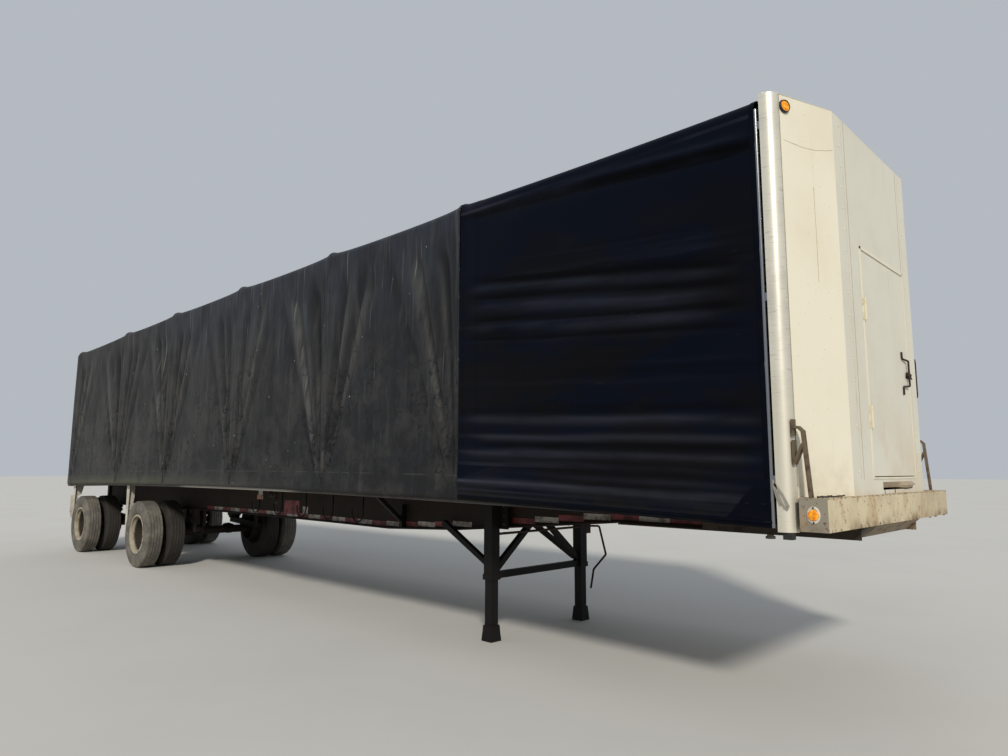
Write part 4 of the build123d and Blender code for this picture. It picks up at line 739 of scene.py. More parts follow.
def cloth(name: str, points: np.ndarray, flat: np.ndarray, finish: Finish) -> bpy.types.Object:
    """Makes a sheet of cloth over a grid of points.

    Args:
        name: the piece's name.
        points: the grid's points, with rows and columns first.
        flat: where each point lies on the flat cloth, in metres, for its UV map.
        finish: the cloth's finish.

    Returns:
        The new object.
    """
    made = piece(name, points.reshape(-1, 3), skin(*points.shape[:2]), finish)
    uv = made.data.uv_layers.new(name="cloth")
    corners = np.empty(len(made.data.loops), np.int32)
    made.data.loops.foreach_get("vertex_index", corners)
    uv.data.foreach_set("uv", flat.reshape(-1, 2)[corners].astype(np.float32).ravel())
    wall = made.modifiers.new("thickness", "SOLIDIFY")
    wall.thickness, wall.offset = CLOTH, -1
    return made


@dataclass
class Shell:
    """Points and faces of several forms that are gathered into one piece."""

    vertices: list = field(default_factory=list)
    faces: list = field(default_factory=list)

    def put(self, points: np.ndarray | list, faces: list) -> None:
        """Adds a form.

        Args:
            points: its points.
            faces: its faces, as tuples of its own point numbers.
        """
        start = len(self.vertices)
        self.vertices.extend(np.asarray(points, float).reshape(-1, 3).tolist())
        self.faces.extend(tuple(start + i for i in face) for face in faces)

    def sweep(self, rings: list) -> None:
        """Adds a closed skin over a row of rings, with a face at both ends.

        Args:
            rings: the rings, each with the same number of points.
        """
        count, size = len(rings), len(rings[0])
        faces = []
        for a in range(0, (count - 1) * size, size):
            b = a + size
            faces += [(a + j, a + (j + 1) % size, b + (j + 1) % size, b + j) for j in range(size)]
        faces += [tuple(range(size))[::-1], tuple((count - 1) * size + j for j in range(size))]
        self.put(rings, faces)

    def block(self, low: tuple, high: tuple, bevel: float = 0.0) -> None:
        """Adds a box, with its long edges bevelled.

        Args:
            low: its lowest corner.
            high: its highest corner.
            bevel: the width of the bevel, in metres.
        """
        (x0, y0, z0), (x1, y1, z1), b = low, high, bevel
        outline = [(y0, z0), (y1, z0), (y1, z1), (y0, z1)]
        if b:
            outline = [(y0 + b, z0), (y1 - b, z0), (y1, z0 + b), (y1, z1 - b)]
            outline += [(y1 - b, z1), (y0 + b, z1), (y0, z1 - b), (y0, z0 + b)]
        self.sweep([[(x, y, z) for y, z in outline] for x in (x0, x1)])

    def tube(self, path: list, radius: float, sides: int = 10) -> None:
        """Adds a round bar.

        Args:
            path: the points of its middle line.
            radius: the bar's radius, in metres.
            sides: how many faces go round it.
        """
        points = [Vector(p) for p in path]
        rings, up = [], Vector((0, 0, 1))
        for i, p in enumerate(points):
            ahead = (points[min(i + 1, len(points) - 1)] - points[max(i - 1, 0)]).normalized()
            # Where the bar runs along the last upward direction, it takes another.
            if abs(ahead.dot(up)) > 0.95:
                up = Vector((1, 0, 0)) if abs(ahead.x) < 0.9 else Vector((0, 1, 0))
            across = ahead.cross(up).normalized()
            up = across.cross(ahead).normalized()
            turns = [math.tau * k / sides for k in range(sides)]
            rings.append([tuple(p + radius * (math.cos(t) * across + math.sin(t) * up)) for t in turns])
        self.sweep(rings)

    def ribbon(self, path: list, facing: tuple, width: float, thickness: float) -> None:
        """Adds a flat strap.

        Args:
            path: the points of its middle line.
            facing: the direction that its face looks in.
            width: its width, in metres.
            thickness: its thickness, in metres.
        """
        points, out = [Vector(p) for p in path], Vector(facing).normalized()
        rings = []
        for i, p in enumerate(points):
            ahead = points[min(i + 1, len(points) - 1)] - points[max(i - 1, 0)]
            aside = ahead.cross(out).normalized() * width / 2
            up = aside.cross(ahead).normalized() * thickness / 2
            rings.append([tuple(p + a * aside + b * up) for a, b in ((-1, -1), (1, -1), (1, 1), (-1, 1))])
        self.sweep(rings)

    def lathe(self, outline: list, centre: tuple, axis: int, steps: int = 32) -> None:
        """Adds a turned form.

        Args:
            outline: pairs of distance along the axis and radius; a radius of 0 closes an end.
            centre: the point that distances along the axis are measured from.
            axis: 0, 1 or 2 for x, y or z.
            steps: how many faces go round.
        """
        points, faces, size = [], [], len(outline)
        for k in range(steps):
            turn = math.tau * k / steps
            for reach, radius in outline:
                p = list(centre)
                p[axis] += reach
                p[(axis + 1) % 3] += radius * math.cos(turn)
                p[(axis + 2) % 3] += radius * math.sin(turn)
                points.append(p)
            a, b = k * size, (k + 1) % steps * size
            faces += [(a + j, b + j, b + j + 1, a + j + 1) for j in range(size - 1)]
        self.put(points, faces)

    def finished(self, name: str, finish: Finish, body: str = "trailer", smooth: bool = False) -> bpy.types.Object:
        """The piece, with its doubles merged and its faces turned outwards."""
        return piece(name, np.array(self.vertices), self.faces, finish, body, smooth, recalculate=True)


@dataclass
class Fasteners:
    """Bolts, rivets or screws of one size, spread over places on one body by Geometry Nodes."""

    name: str
    finish: Finish
    radius: float
    height: float
    sides: int = 6
    body: str = "trailer"
    places: list = field(default_factory=list)
    facings: list = field(default_factory=list)

    def put(self, place: tuple, facing: tuple) -> None:
        """Adds one fastener at a place, with its head pointing along facing."""
        self.places.append(place)
        self.facings.append(facing)

    def ring(self, centre: tuple, circle: float, count: int, start: float = 0.0) -> None:
        """Adds a circle of fasteners on the outer face of a wheel.

        Args:
            centre: the circle's middle.
            circle: its radius, in metres.
            count: how many there are.
            start: where the first one is, in steps of the circle on from the front.
        """
        x, y, z = centre
        for k in range(count):
            turn = math.tau * (k + start) / count
            self.put((x + circle * math.cos(turn), y, z + circle * math.sin(turn)), (0, math.copysign(1, y), 0))

    def tree(self) -> bpy.types.NodeTree:
        """Builds the node tree that sets a head on every point.

        Returns:
            The tree, with the inputs Radius, Height and Material.
        """
        made = bpy.data.node_groups.new(f"{self.name}_heads", "GeometryNodeTree")
        inputs = {"Geometry": "Geometry", "Radius": "Float", "Height": "Float", "Material": "Material"}
        for name, kind in inputs.items():
            made.interface.new_socket(name, in_out="INPUT", socket_type=f"NodeSocket{kind}")
        made.interface.new_socket("Geometry", in_out="OUTPUT", socket_type="NodeSocketGeometry")
        given = add(made, "NodeGroupInput").outputs
        crown = add(made, "ShaderNodeMath", {1: 0.72}, {0: given["Radius"]}, operation="MULTIPLY").outputs[0]
        cuts = {"Vertices": self.sides, "Side Segments": 1, "Fill Segments": 1}
        sizes = {"Radius Top": crown, "Radius Bottom": given["Radius"], "Depth": given["Height"]}
        head = add(made, "GeometryNodeMeshCone", cuts, sizes).outputs[0]
        facing = add(made, "GeometryNodeInputNamedAttribute", {"Name": "facing"}, data_type="FLOAT_VECTOR").outputs[0]
        turn = add(made, "FunctionNodeAlignRotationToVector", links={"Vector": facing}, axis="Z").outputs[0]
        points = add(made, "GeometryNodeMeshToPoints", links={"Mesh": given["Geometry"]}).outputs[0]
        parts = {"Points": points, "Instance": head, "Rotation": turn}
        spread = add(made, "GeometryNodeInstanceOnPoints", links=parts).outputs[0]
        solid = add(made, "GeometryNodeRealizeInstances", links={0: spread}).outputs[0]
        painted = add(made, "GeometryNodeSetMaterial", links={"Geometry": solid, "Material": given["Material"]})
        add(made, "NodeGroupOutput", links={0: painted.outputs[0]})
        return made

    def build(self) -> None:
        """Makes the heads into one plain mesh piece."""
        mesh = bpy.data.meshes.new(self.name + "_points")
        mesh.from_pydata(self.places, [], [])
        facing = mesh.attributes.new("facing", "FLOAT_VECTOR", "POINT")
        facing.data.foreach_set("vector", np.array(self.facings, np.float32).ravel())
        holder = placed(self.name + "_points", mesh)
        modifier = holder.modifiers.new("heads", "NODES")
        modifier.node_group = self.tree()
        sizes = {"Radius": self.radius, "Height": self.height, "Material": self.finish.material()}
        for socket in modifier.node_group.interface.items_tree:
            if socket.in_out == "INPUT" and socket.name in sizes:
                modifier[socket.identifier] = sizes[socket.name]
        bpy.context.view_layer.update()
        ready = bpy.data.meshes.new_from_object(holder.evaluated_get(bpy.context.evaluated_depsgraph_get()))
        ready.name = self.name
        made = placed(self.name, ready)
        bpy.data.objects.remove(holder)
        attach(made, self.body)


# The cover


def rows(*parts: tuple[float, float, int]) -> np.ndarray:
    """Grid places in several stretches, each with its own spacing."""
    return np.unique(np.concatenate([np.linspace(a, b, n + 1) for a, b, n in parts]).round(6))


def up_wall(q: np.ndarray) -> np.ndarray:
    """How far up its wall q is, from 0 at the hem to 1 at the corner, on either side."""
    return np.clip(np.minimum(q, 5 - q), 0, 1)


@dataclass
class CoverForm:
    """The line that every cover follows: up one side, round the corner, over the roof and down the other side.

    A place on it is a station and q, which is 0 to 1 up the right side, 1 to 2 round the corner, 2 to 3 over the roof,
    and so on to 5 at the left hem.
    """

    half_width: float = 1.311
    corner: float = 0.09
    top: float = 3.885
    hem: float = 1.252
    front_station: float = 0.330
    front_hem: float = 1.222
    join: float = 3.05

    def hem_height(self, station: np.ndarray) -> np.ndarray:
        """Works out the line of the lower edge.

        Args:
            station: the stations, in metres.

        Returns:
            The height of the lower edge at each station.
        """
        joined = self.hem + rise(along(self.join))
        t = np.clip((self.join - station) / (self.join - self.front_station), 0, 1)
        front = joined + (self.front_hem - joined) * t
        return np.where(station < self.join, front, self.hem + rise(along(station)))

    def place(self, station: np.ndarray, q: np.ndarray, lift: np.ndarray) -> np.ndarray:
        """Points on the cover.

        Args:
            station: the stations, in metres.
            q: how far round the cover each point is.
            lift: how far outside the line it stands, in metres.

        Returns:
            An array of points, with the three coordinates last.
        """
        station, q, lift = np.broadcast_arrays(*(np.asarray(v, float) for v in (station, q, lift)))
        around = np.minimum(q, 5 - q)
        side = np.where(q <= 2.5, -1.0, 1.0)
        up, bend, over = (np.clip(around - k, 0, 1) for k in (0, 1, 2))
        x = along(station)
        shoulder, hem = self.top + rise(x) - self.corner, self.hem_height(station)
        turn = bend * math.pi / 2
        y = (self.half_width - self.corner) * (1 - 2 * over)
        y = np.where(around > 2, y, y + self.corner * np.cos(turn))
        z = hem + up * (shoulder - hem) + self.corner * np.sin(turn)
        return np.stack([x, side * (y + lift * np.cos(turn)), z + lift * np.sin(turn)], -1)

    def across(self, q: np.ndarray) -> np.ndarray:
        """Measures along the cloth.

        Args:
            q: places round the cover.

        Returns:
            How far each place is from the right hem, in metres.
        """
        side, bend = self.top - self.corner - self.hem, self.corner * math.pi / 2
        roof = 2 * (self.half_width - self.corner)
        return np.interp(q, (0, 1, 2, 3, 4, 5), np.cumsum((0, side, bend, roof, bend, side)))

    def sheet(
        self, name: str, stations: np.ndarray, q: np.ndarray, lift: Callable, finish: Finish, marks: dict[str, Callable]
    ) -> bpy.types.Object:
        """Makes a cloth piece over a grid of stations and q.

        Args:
            name: the piece's name.
            stations: the grid's stations.
            q: the grid's places round the cover.
            lift: a function of the two grids that gives how far the cloth stands out.
            finish: the cloth's finish.
            marks: functions of the two grids by the name of the attribute that carries them, from 0 to 1.

        Returns:
            The cloth.
        """
        s, r = np.meshgrid(stations, q, indexing="ij")
        made = cloth(name, self.place(s, r, lift(s, r)), np.stack([s, self.across(r)], -1), finish)
        for title, mark in marks.items():
            layer = made.data.attributes.new(title, "FLOAT", "POINT")
            layer.data.foreach_set("value", np.clip(mark(s, r), 0, 1).astype(np.float32).ravel())
        return made

    def strip(
        self, shell: Shell, stations: np.ndarray, q: np.ndarray, lift: Callable, thickness: float = CLOTH
    ) -> None:
        """Adds a strip of doubled cloth that lies on the cover.

        Args:
            shell: what gets it.
            stations: the stations of its grid.
            q: the places round the cover of its grid.
            lift: a function of the two grids that gives how far the cloth below stands out.
            thickness: its thickness, in metres.
        """
        s, r = np.meshgrid(stations, q, indexing="ij")
        low, high = (self.place(s, r, lift(s, r) + 0.0005 + k) for k in (0.0, thickness))
        rows, columns = s.shape
        count = rows * columns
        faces = []
        for quad in skin(rows, columns):
            faces += [tuple(count + k for k in quad), quad[::-1]]
        edge = [*range(columns), *(i * columns + columns - 1 for i in range(1, rows))]
        edge += [*range(count - 2, count - columns - 1, -1), *(i * columns for i in range(rows - 2, 0, -1))]
        faces += [(a, b, count + b, count + a) for a, b in zip(edge, edge[1:] + edge[:1])]
        shell.put(np.concatenate([low.reshape(-1, 3), high.reshape(-1, 3)]), faces)


FORM = CoverForm()


def off_bow(s: np.ndarray) -> np.ndarray:
    """How far each station is from the nearest bow, in metres."""
    return np.abs(s[..., None] - BOWS).min(-1)


def in_bay(s: np.ndarray) -> tuple[np.ndarray, np.ndarray]:
    """Which bay each station is in, and how far along it from 0 to 1, or past that beyond the end bows."""
    bay = np.clip(np.searchsorted(BOWS, s, side="right") - 1, 0, len(BOWS) - 2)
    return bay, (s - BOWS[bay]) / (BOWS[bay + 1] - BOWS[bay])


@dataclass
class OldCover:
    """The long rear section: old grey cloth that each bow's foot pulls into fans of folds."""

    start: float = 3.05
    end: float = 14.606
    crest_height: float = 0.014
    hollow_depth: float = 0.046
    ridge: float = 0.012
    roof_sag: float = 0.018
    belly: float = 0.012
    hem_band: float = 0.12
    # Each fold of a fan: how far it leans away from the bow, its width, and its strength, below 0 for a hollow.
    fans: tuple = (
        (0.07, 0.028, 0.4),
        (0.14, 0.036, -0.8),
        (0.22, 0.036, 0.65),
        (0.30, 0.034, -0.75),
        (0.39, 0.050, 1.0),
        (0.49, 0.046, -0.45),
    )

    def folds(self, s: np.ndarray, q: np.ndarray) -> tuple[np.ndarray, np.ndarray]:
        """Works out the fans of folds.

        Args:
            s: the grid's stations.
            q: the grid's places round the cover.

        Returns:
            How strong the crests and the hollows are at each point of the grid.
        """
        v, far, count = up_wall(q), (q > 2.5).astype(int), len(self.fans)
        bay, u = in_bay(s)
        u = np.clip(u, 0, 1)
        vary = np.random.default_rng(316).uniform(-1, 1, (2, len(BOWS), 2, 2 * count))
        crest, hollow = np.zeros_like(s), np.zeros_like(s)
        shown = fade(v, 0.015, 0.16) * fade(v, 1.0, 0.8)
        for hand, reach in ((0, u), (1, 1 - u)):
            lean = reach / (v + 0.035)
            chance = vary[far, bay, hand]
            for k, (middle, width, strength) in enumerate(self.fans):
                bend = middle * (1 + 0.16 * chance[..., k]) + 0.03 * chance[..., k - 1] * (v - 0.5)
                part = bell(lean - bend, width) * (1 + 0.45 * chance[..., count + k]) * shown * fade(lean, 0.62, 0.5)
                grid = crest if strength > 0 else hollow
                grid += abs(strength) * part
        hollow += 0.8 * bell(u, 0.10) * fade(v, 0.25, 0.9) * fade(v, 1.0, 0.9) * fade(u, 0.015, 0.03)
        return crest, hollow

    def rubbed_and_highlit(self, s: np.ndarray, q: np.ndarray) -> np.ndarray:
        """How pale the cloth is on the folds' crests and over the bows' edges: rubbed pale, with a painted highlight on
        top.
        """
        return self.folds(s, q)[0] + 0.5 * bell(off_bow(s) - 0.02, 0.012)

    def shaded(self, s: np.ndarray, q: np.ndarray) -> np.ndarray:
        """Works out the painted shade in the hollows and beside the bows' feet.

        Args:
            s: the grid's stations.
            q: the grid's places round the cover.

        Returns:
            How dark the painted shade is at each point of the grid.
        """
        v, away = up_wall(q), off_bow(s)
        foot = bell((away - 0.05) / (0.12 + 0.3 * v), 0.6) * fade(away, 0.02, 0.05) * fade(v, 0.42, 0.06)
        return self.folds(s, q)[1] + 0.7 * foot

    @staticmethod
    def worn(s: np.ndarray, q: np.ndarray) -> np.ndarray:
        """How chalky the cloth is: most in the lower middle of each bay."""
        v = up_wall(q)
        return bell(in_bay(s)[1] - 0.5, 0.34) * fade(v, 0.03, 0.2) * fade(v, 0.9, 0.45)

    def lift(self, s: np.ndarray, q: np.ndarray) -> np.ndarray:
        """Works out how the cloth lies.

        Args:
            s: the grid's stations.
            q: the grid's places round the cover.

        Returns:
            How far it stands out from the cover's line at each point of the grid, in metres.
        """
        v, far, away = up_wall(q), (q > 2.5).astype(int), off_bow(s)
        u = np.clip(in_bay(s)[1], 0, 1)
        soft = np.sqrt(away**2 + 0.03**2) - 0.03
        edge = -self.roof_sag * (1 - np.exp(-soft / 0.14)) - self.belly * 4 * u * (1 - u) + 0.004
        crest, hollow = self.folds(s, q)
        chance = np.random.default_rng(41)
        ripple = np.zeros_like(s)
        for k, wave in enumerate((0.13, 0.21, 0.34, 0.53)):
            phase = chance.uniform(0, math.tau, 2)[far]
            ripple += (0.0010 + 0.0006 * k) * np.sin(math.tau * (s + 0.12 * (1 - v) * (k - 1)) / wave + phase)
        belly = -self.belly * np.sin(math.pi * v) * np.sin(math.pi * u)
        post = self.ridge * bell(away, 0.03) * fade(v, 0.0, 0.1)
        folds = self.crest_height * crest - self.hollow_depth * hollow
        side = (folds + ripple * fade(v, 0.05, 0.3) + belly) * fade(v, 1.0, 0.85) + post
        band = 0.003 * fade(v * 2.6, self.hem_band + 0.012, self.hem_band)
        over = np.clip(np.minimum(q, 5 - q) - 2, 0, 0.5)
        sag = -self.roof_sag * np.sin(math.pi * u) * np.sin(math.pi * over)
        return side + band + edge * fade(v, 0.6, 1.0) + sag

    def build(self) -> None:
        stations = rows((self.start, 7.42, 160), (7.42, 11.79, 110), (11.79, self.end, 62))
        q = rows((0, 1, 62), (1, 2, 6), (2, 3, 18), (3, 4, 6), (4, 5, 44))
        # The crests carry a painted highlight over real rubbing, and the hollows a painted shade.
        marks = {"crest": self.rubbed_and_highlit, "hollow": self.shaded, "worn": self.worn}
        made = FORM.sheet("cover_main_cloth", stations, q, self.lift, OLD_COVER, marks)
        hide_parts("cover_main")
        trim = self.trim()

    def trim(self) -> list:
        """Makes the pale cut edge at the front and the tabs at the bows' feet.

        Returns:
            The two pieces.
        """
        welt, tabs = Shell(), Shell()
        stations = np.array([self.start - 0.003, self.start + 0.009])
        q = rows((0.0, 1, 60), (1, 2, 8), (2, 3, 16), (3, 4, 8), (4, 5, 60))
        FORM.strip(welt, stations, q, lambda s, r: self.lift(np.full_like(s, self.start), r))
        for bow in BOWS[:-1]:
            for low, high in ((0.012, 0.06), (4.94, 4.988)):
                FORM.strip(tabs, np.linspace(bow - 0.012, bow + 0.034, 4), np.linspace(low, high, 6), self.lift)
        return [
            welt.finished("cover_main_edge_welt", SEAM_CLOTH),
            tabs.finished("cover_main_foot_tabs", SEAM_CLOTH),
        ]


@dataclass(frozen=True)
class Crease:
    """A fold that runs along the front section: its heights at the join and at the pipe, and its form."""

    back: float
    front: float
    height: float
    width: float
    start: float = 0.42
    end: float = 2.95


@dataclass
class NewCover:
    """The front section: newer black cloth, drawn tight by the pipe into long level folds."""

    start: float = 0.318
    end: float = 3.052
    belly: float = 0.016
    far_shift: float = 0.06
    fine_folds: int = 46
    fine_step: float = 0.045
    creases: tuple = (
        Crease(3.86, 3.63, 0.030, 0.045, 0.3, 3.05),
        Crease(3.80, 3.58, -0.022, 0.035, 0.3, 3.05),
        Crease(3.20, 2.83, -0.012, 0.03),
        Crease(3.12, 2.77, 0.014, 0.035),
        Crease(3.05, 2.71, -0.013, 0.022),
        Crease(2.95, 2.62, 0.017, 0.04),
        Crease(2.84, 2.56, -0.013, 0.022),
        Crease(2.75, 2.50, 0.015, 0.035),
        Crease(2.67, 2.43, -0.010, 0.02),
        Crease(2.05, 1.93, -0.006, 0.03, 0.34, 3.05),
        Crease(1.98, 1.85, 0.008, 0.03, 0.34, 3.05),
        Crease(1.83, 1.74, 0.008, 0.024, 0.34, 2.9),
        Crease(1.77, 1.69, -0.008, 0.02, 0.34, 2.8),
        Crease(1.70, 1.62, 0.008, 0.024, 0.34, 3.05),
        Crease(1.47, 1.38, 0.009, 0.022, 0.34, 3.05),
    )

    def folds(self, s: np.ndarray, q: np.ndarray) -> tuple[np.ndarray, np.ndarray]:
        """Works out the level folds.

        Args:
            s: the grid's stations.
            q: the grid's places round the cover.

        Returns:
            How high the crests and how deep the hollows are at each point of the grid, in metres.
        """
        z = FORM.place(s, q, np.zeros_like(s))[..., 2]
        t = (s - self.start) / (self.end - self.start)
        crest, hollow = np.zeros_like(s), np.zeros_like(s)
        shift = np.where(q > 2.5, self.far_shift, 0.0)

        def put(height: float, width: float, level: np.ndarray, ends: np.ndarray | float = 1.0) -> None:
            """Adds a fold along a level: a crest, or a hollow where its height is below 0."""
            grid = crest if height > 0 else hollow
            grid += abs(height) * bell(z - level, width) * ends

        for fold in self.creases:
            level = fold.front + (fold.back - fold.front) * t + 0.005 * np.sin(3.1 * s + 9 * fold.back) + shift
            ends = fade(s, fold.start - 0.1, fold.start + 0.25) * fade(s, fold.end + 0.05, fold.end - 0.3)
            put(fold.height, fold.width, level, ends)
        chance = np.random.default_rng(58)
        for k in range(self.fine_folds):
            back = 1.34 + self.fine_step * k + chance.uniform(-0.015, 0.015)
            level = back - (0.04 + 0.012 * k / 10) * (self.end - s)
            level = level + 0.006 * np.sin(chance.uniform(3, 8) * s + k) + shift
            middle, reach = chance.uniform(0.6, 2.8), chance.uniform(0.4, 1.4)
            put(chance.uniform(-0.0055, 0.0065), chance.uniform(0.010, 0.022), level, bell(s - middle, reach))
        for k in range(7):
            put(0.004, 0.012, 1.33 + 0.022 * k + (3.05 - s) * (0.01 + 0.04 * k), fade(s, 2.3, 3.0))
        for height, width in ((0.045, 0.008), (0.085, 0.006), (0.135, 0.010)):
            put(0.007, width, height + FORM.hem_height(s) + 0.01 * t)
        return crest, hollow

    def lift(self, s: np.ndarray, q: np.ndarray) -> np.ndarray:
        """Works out how the cloth lies.

        Args:
            s: the grid's stations.
            q: the grid's places round the cover.

        Returns:
            How far it stands out from the cover's line at each point of the grid, in metres.
        """
        v = up_wall(q)
        middle = np.sin(math.pi * np.clip((s - self.start) / (self.end - self.start), 0, 1))
        crest, hollow = self.folds(s, q)
        wall = (crest - hollow - self.belly * middle * np.sin(math.pi * v)) * fade(v, 0.0, 0.06) * fade(v, 1.0, 0.93)
        lap = 0.0025 * fade(s, 2.82, 2.85)
        post = 0.006 * bell(s - 3.03, 0.03) * fade(v, 0, 0.1)
        edge = -0.014 * middle**0.7 * fade(v, 0.9, 1.0)
        roof = -self.belly * middle * np.sin(math.pi * np.clip(np.minimum(q, 5 - q) - 2, 0, 0.5))
        return wall + lap + post + edge + roof

    def build(self) -> None:
        stations = rows((self.start, 2.8, 84), (2.8, self.end, 16))
        q = rows((0, 1, 190), (1, 2, 8), (2, 3, 30), (3, 4, 8), (4, 5, 120))
        # The folds' crests carry painted highlights, and their hollows painted shade.
        marks = {
            "crest": lambda a, b: self.folds(a, b)[0] / 0.013,
            "hollow": lambda a, b: self.folds(a, b)[1] / 0.012,
        }
        made = FORM.sheet("cover_front_cloth", stations, q, self.lift, NEW_COVER, marks)
        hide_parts("cover_front")
        trim = self.trim()

    def trim(self) -> list:
        """Makes the rope in the hem, the reinforced corners and the dark edge at the pipe.

        Returns:
            The three pieces.
        """
        rope, corner, edge = Shell(), Shell(), Shell()
        s = np.linspace(self.start, self.end - 0.01, 60)
        grid, band = np.meshgrid(np.linspace(0.335, 0.68, 10), np.linspace(0.0, 0.1, 8), indexing="ij")
        band = band * fade(grid, 0.68, 0.36)
        for side, place, q in ((-1, 0.012, band), (1, 4.988, 5 - band[:, ::-1])):
            line = np.full_like(s, place)
            rope.tube(FORM.place(s, line, self.lift(s, line) + 0.004).tolist(), 0.011, 8)
            corner.put(FORM.place(grid, q, self.lift(grid, q) + 0.004), skin(*grid.shape))
            y0, y1 = sorted((side * 1.2765, side * 1.2785))
            edge.block((along(0.336), y0, 1.24), (along(0.288), y1, 3.80))
        stations = np.array([self.start - 0.001, self.start + 0.03])
        q = rows((0.0, 1, 80), (1, 2, 6), (2, 3, 10), (3, 4, 6), (4, 5, 80))
        FORM.strip(edge, stations, q, self.lift, 0.003)
        return [
            rope.finished("cover_front_hem_rope", PATCH_CLOTH, smooth=True),
            corner.finished("cover_front_corner_patch", PATCH_CLOTH, smooth=True),
            edge.finished("cover_front_pipe_edge", PATCH_CLOTH),
        ]


@dataclass
class RearCurtain:
    """The curtain that closes the rear opening, with its webbing straps."""

    station: float = 14.6103
    half_width: float = 1.3
    corner: float = 0.09
    bottom: float = 1.401
    strap_places: tuple = (-0.87, 0.0, 0.87)

    def build(self) -> None:
        x = along(self.station)
        top = FORM.top + float(rise(x)) - 0.004
        y, t = np.meshgrid(np.linspace(-1, 1, 90), np.linspace(0, 1, 80), indexing="ij")
        z = self.bottom + (top - self.bottom) * t
        corner = np.clip(z - (top - self.corner), 0, self.corner)
        reach = self.half_width - (self.corner - np.sqrt(self.corner**2 - corner**2))
        chance = np.random.default_rng(9)
        waves = [np.sin(math.tau * y * k + chance.uniform(0, 6) + 0.8 * t) for k in (1.5, 2.6, 4.1)]
        points = np.stack([x + 0.004 + 0.00245 * sum(waves) * np.sin(math.pi * t), y * reach, z], -1)
        made = cloth("rear_curtain_cloth", points, points[..., 1:] + np.array((3, -self.bottom)), OLD_COVER)
        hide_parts("cover_rear_curtain")
        straps = Shell()
        for y in self.strap_places:
            straps.block((x - 0.0045, y - 0.022, self.bottom), (x - 0.002, y + 0.022, top - 0.1))
        webbing = straps.finished("rear_curtain_straps", WEBBING)


# Running gear


@dataclass
class Tyres:
    """Ribbed highway tyres on each wheel body, turned from one section."""

    bead_radius: float = 0.290
    shoulder: float = 0.112
    groove_depth: float = 0.011
    groove_width: float = 0.0095
    grooves: tuple = (-0.066, -0.022, 0.022, 0.066)
    offsets: tuple = (0.815, 1.155)

    def outline(self) -> list:
        """Draws the section, from the inner bead round the tread and back inside.

        Returns:
            Pairs of distance from the tyre's middle and radius.
        """
        outer = [(-0.098, self.bead_radius), (-0.104, 0.304), (-0.118, 0.322), (-0.131, 0.352), (-0.1385, 0.388)]
        outer += [(-0.1395, 0.405), (-0.1385, 0.42), (-0.1365, 0.424), (-0.1365, 0.432), (-0.133, 0.446)]
        outer += [(-0.126, 0.468), (-0.119, 0.488), (-0.1165, 0.497), (-self.shoulder, 0.507), (-0.104, 0.5165)]
        tread, w = [], self.groove_width / 2
        for middle in self.grooves:
            crown = WHEEL_HEIGHT - 0.35 * middle * middle
            tread += [(middle - w, crown), (middle - w * 0.7, crown - self.groove_depth)]
            tread += [(middle + w * 0.7, crown - self.groove_depth), (middle + w, crown)]
        inner = [(0.1, 0.31), (0.118, 0.36), (0.126, 0.42), (0.108, 0.478), (0.06, 0.494)]
        mirrored, closing = ([(-a, r) for a, r in reversed(part)] for part in (outer, inner))
        return outer + tread + mirrored + inner + closing + [outer[0]]

    def build(self) -> None:
        """Makes two tyres for each wheel body."""
        for wheel, x, sign in WHEELS:
            shell = Shell()
            for offset in self.offsets:
                shell.lathe(self.outline(), (x, sign * offset, WHEEL_HEIGHT), 1, 72)
            made = shell.finished(f"tyres_{wheel}", TYRE_RUBBER, f"wheel_{wheel}", smooth=True)
            made.data.set_sharp_from_angle(angle=math.radians(42))
            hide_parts(f"wheel_{wheel}_tyres")


@dataclass
class WheelNuts:
    """Ten nuts on each outer disc."""

    circle: float = 0.1429
    count: int = 10
    disc_face: float = 0.997

    def build(self) -> None:
        """Sets the nuts on every wheel body."""
        for wheel, x, sign in WHEELS:
            nuts = Fasteners(f"wheel_nuts_{wheel}", RUSTY_STEEL, 0.017, 0.024, body=f"wheel_{wheel}")
            nuts.ring((x, sign * self.disc_face, WHEEL_HEIGHT), self.circle, self.count, 0.5)
            nuts.build()


# Trim


@dataclass
class ReflectiveTape:
    """Red and white tape along the lower part of both beams' webs."""

    start: float = 0.35
    count: int = 34
    block: float = 0.28
    width: float = 0.05
    web_face: float = 0.5245
    flange_gap: float = 0.02
    # Stations between which the landing legs' plates cover the web.
    leg_plates: tuple = (3.0, 3.55)
    # The foot of the web along the gooseneck, as stations and heights, and its height over the camber behind that.
    gooseneck: tuple = ((1.9, 1.130), (2.8, 1.047), (3.85, 0.956))
    level_from: float = 5.0
    web_low: float = 0.835

    def build(self) -> None:
        """Makes the red and the white blocks of both beams."""
        red, white = Shell(), Shell()
        for side in (-1, 1):
            y0, y1 = sorted((side * self.web_face, side * (self.web_face + 0.0012)))
            for k in range(self.count):
                first = self.start + k * self.block
                if self.leg_plates[0] < first < self.leg_plates[1]:
                    continue
                low = self.web_foot(first) + self.flange_gap
                shell = red if k % 2 else white
                shell.block((along(first + self.block), y0, low), (along(first), y1, low + self.width))
        red.finished("reflective_tape_red", TAPE_RED)
        white.finished("reflective_tape_white", TAPE_WHITE)

    def web_foot(self, station: float) -> float:
        """Finds the foot of the beams' webs.

        Args:
            station: the station, in metres.

        Returns:
            Its height there.
        """
        level = self.web_low + rise(along(max(station, self.level_from)))
        stations, heights = zip(*self.gooseneck, (self.level_from, level))
        return float(np.interp(station, stations, heights))


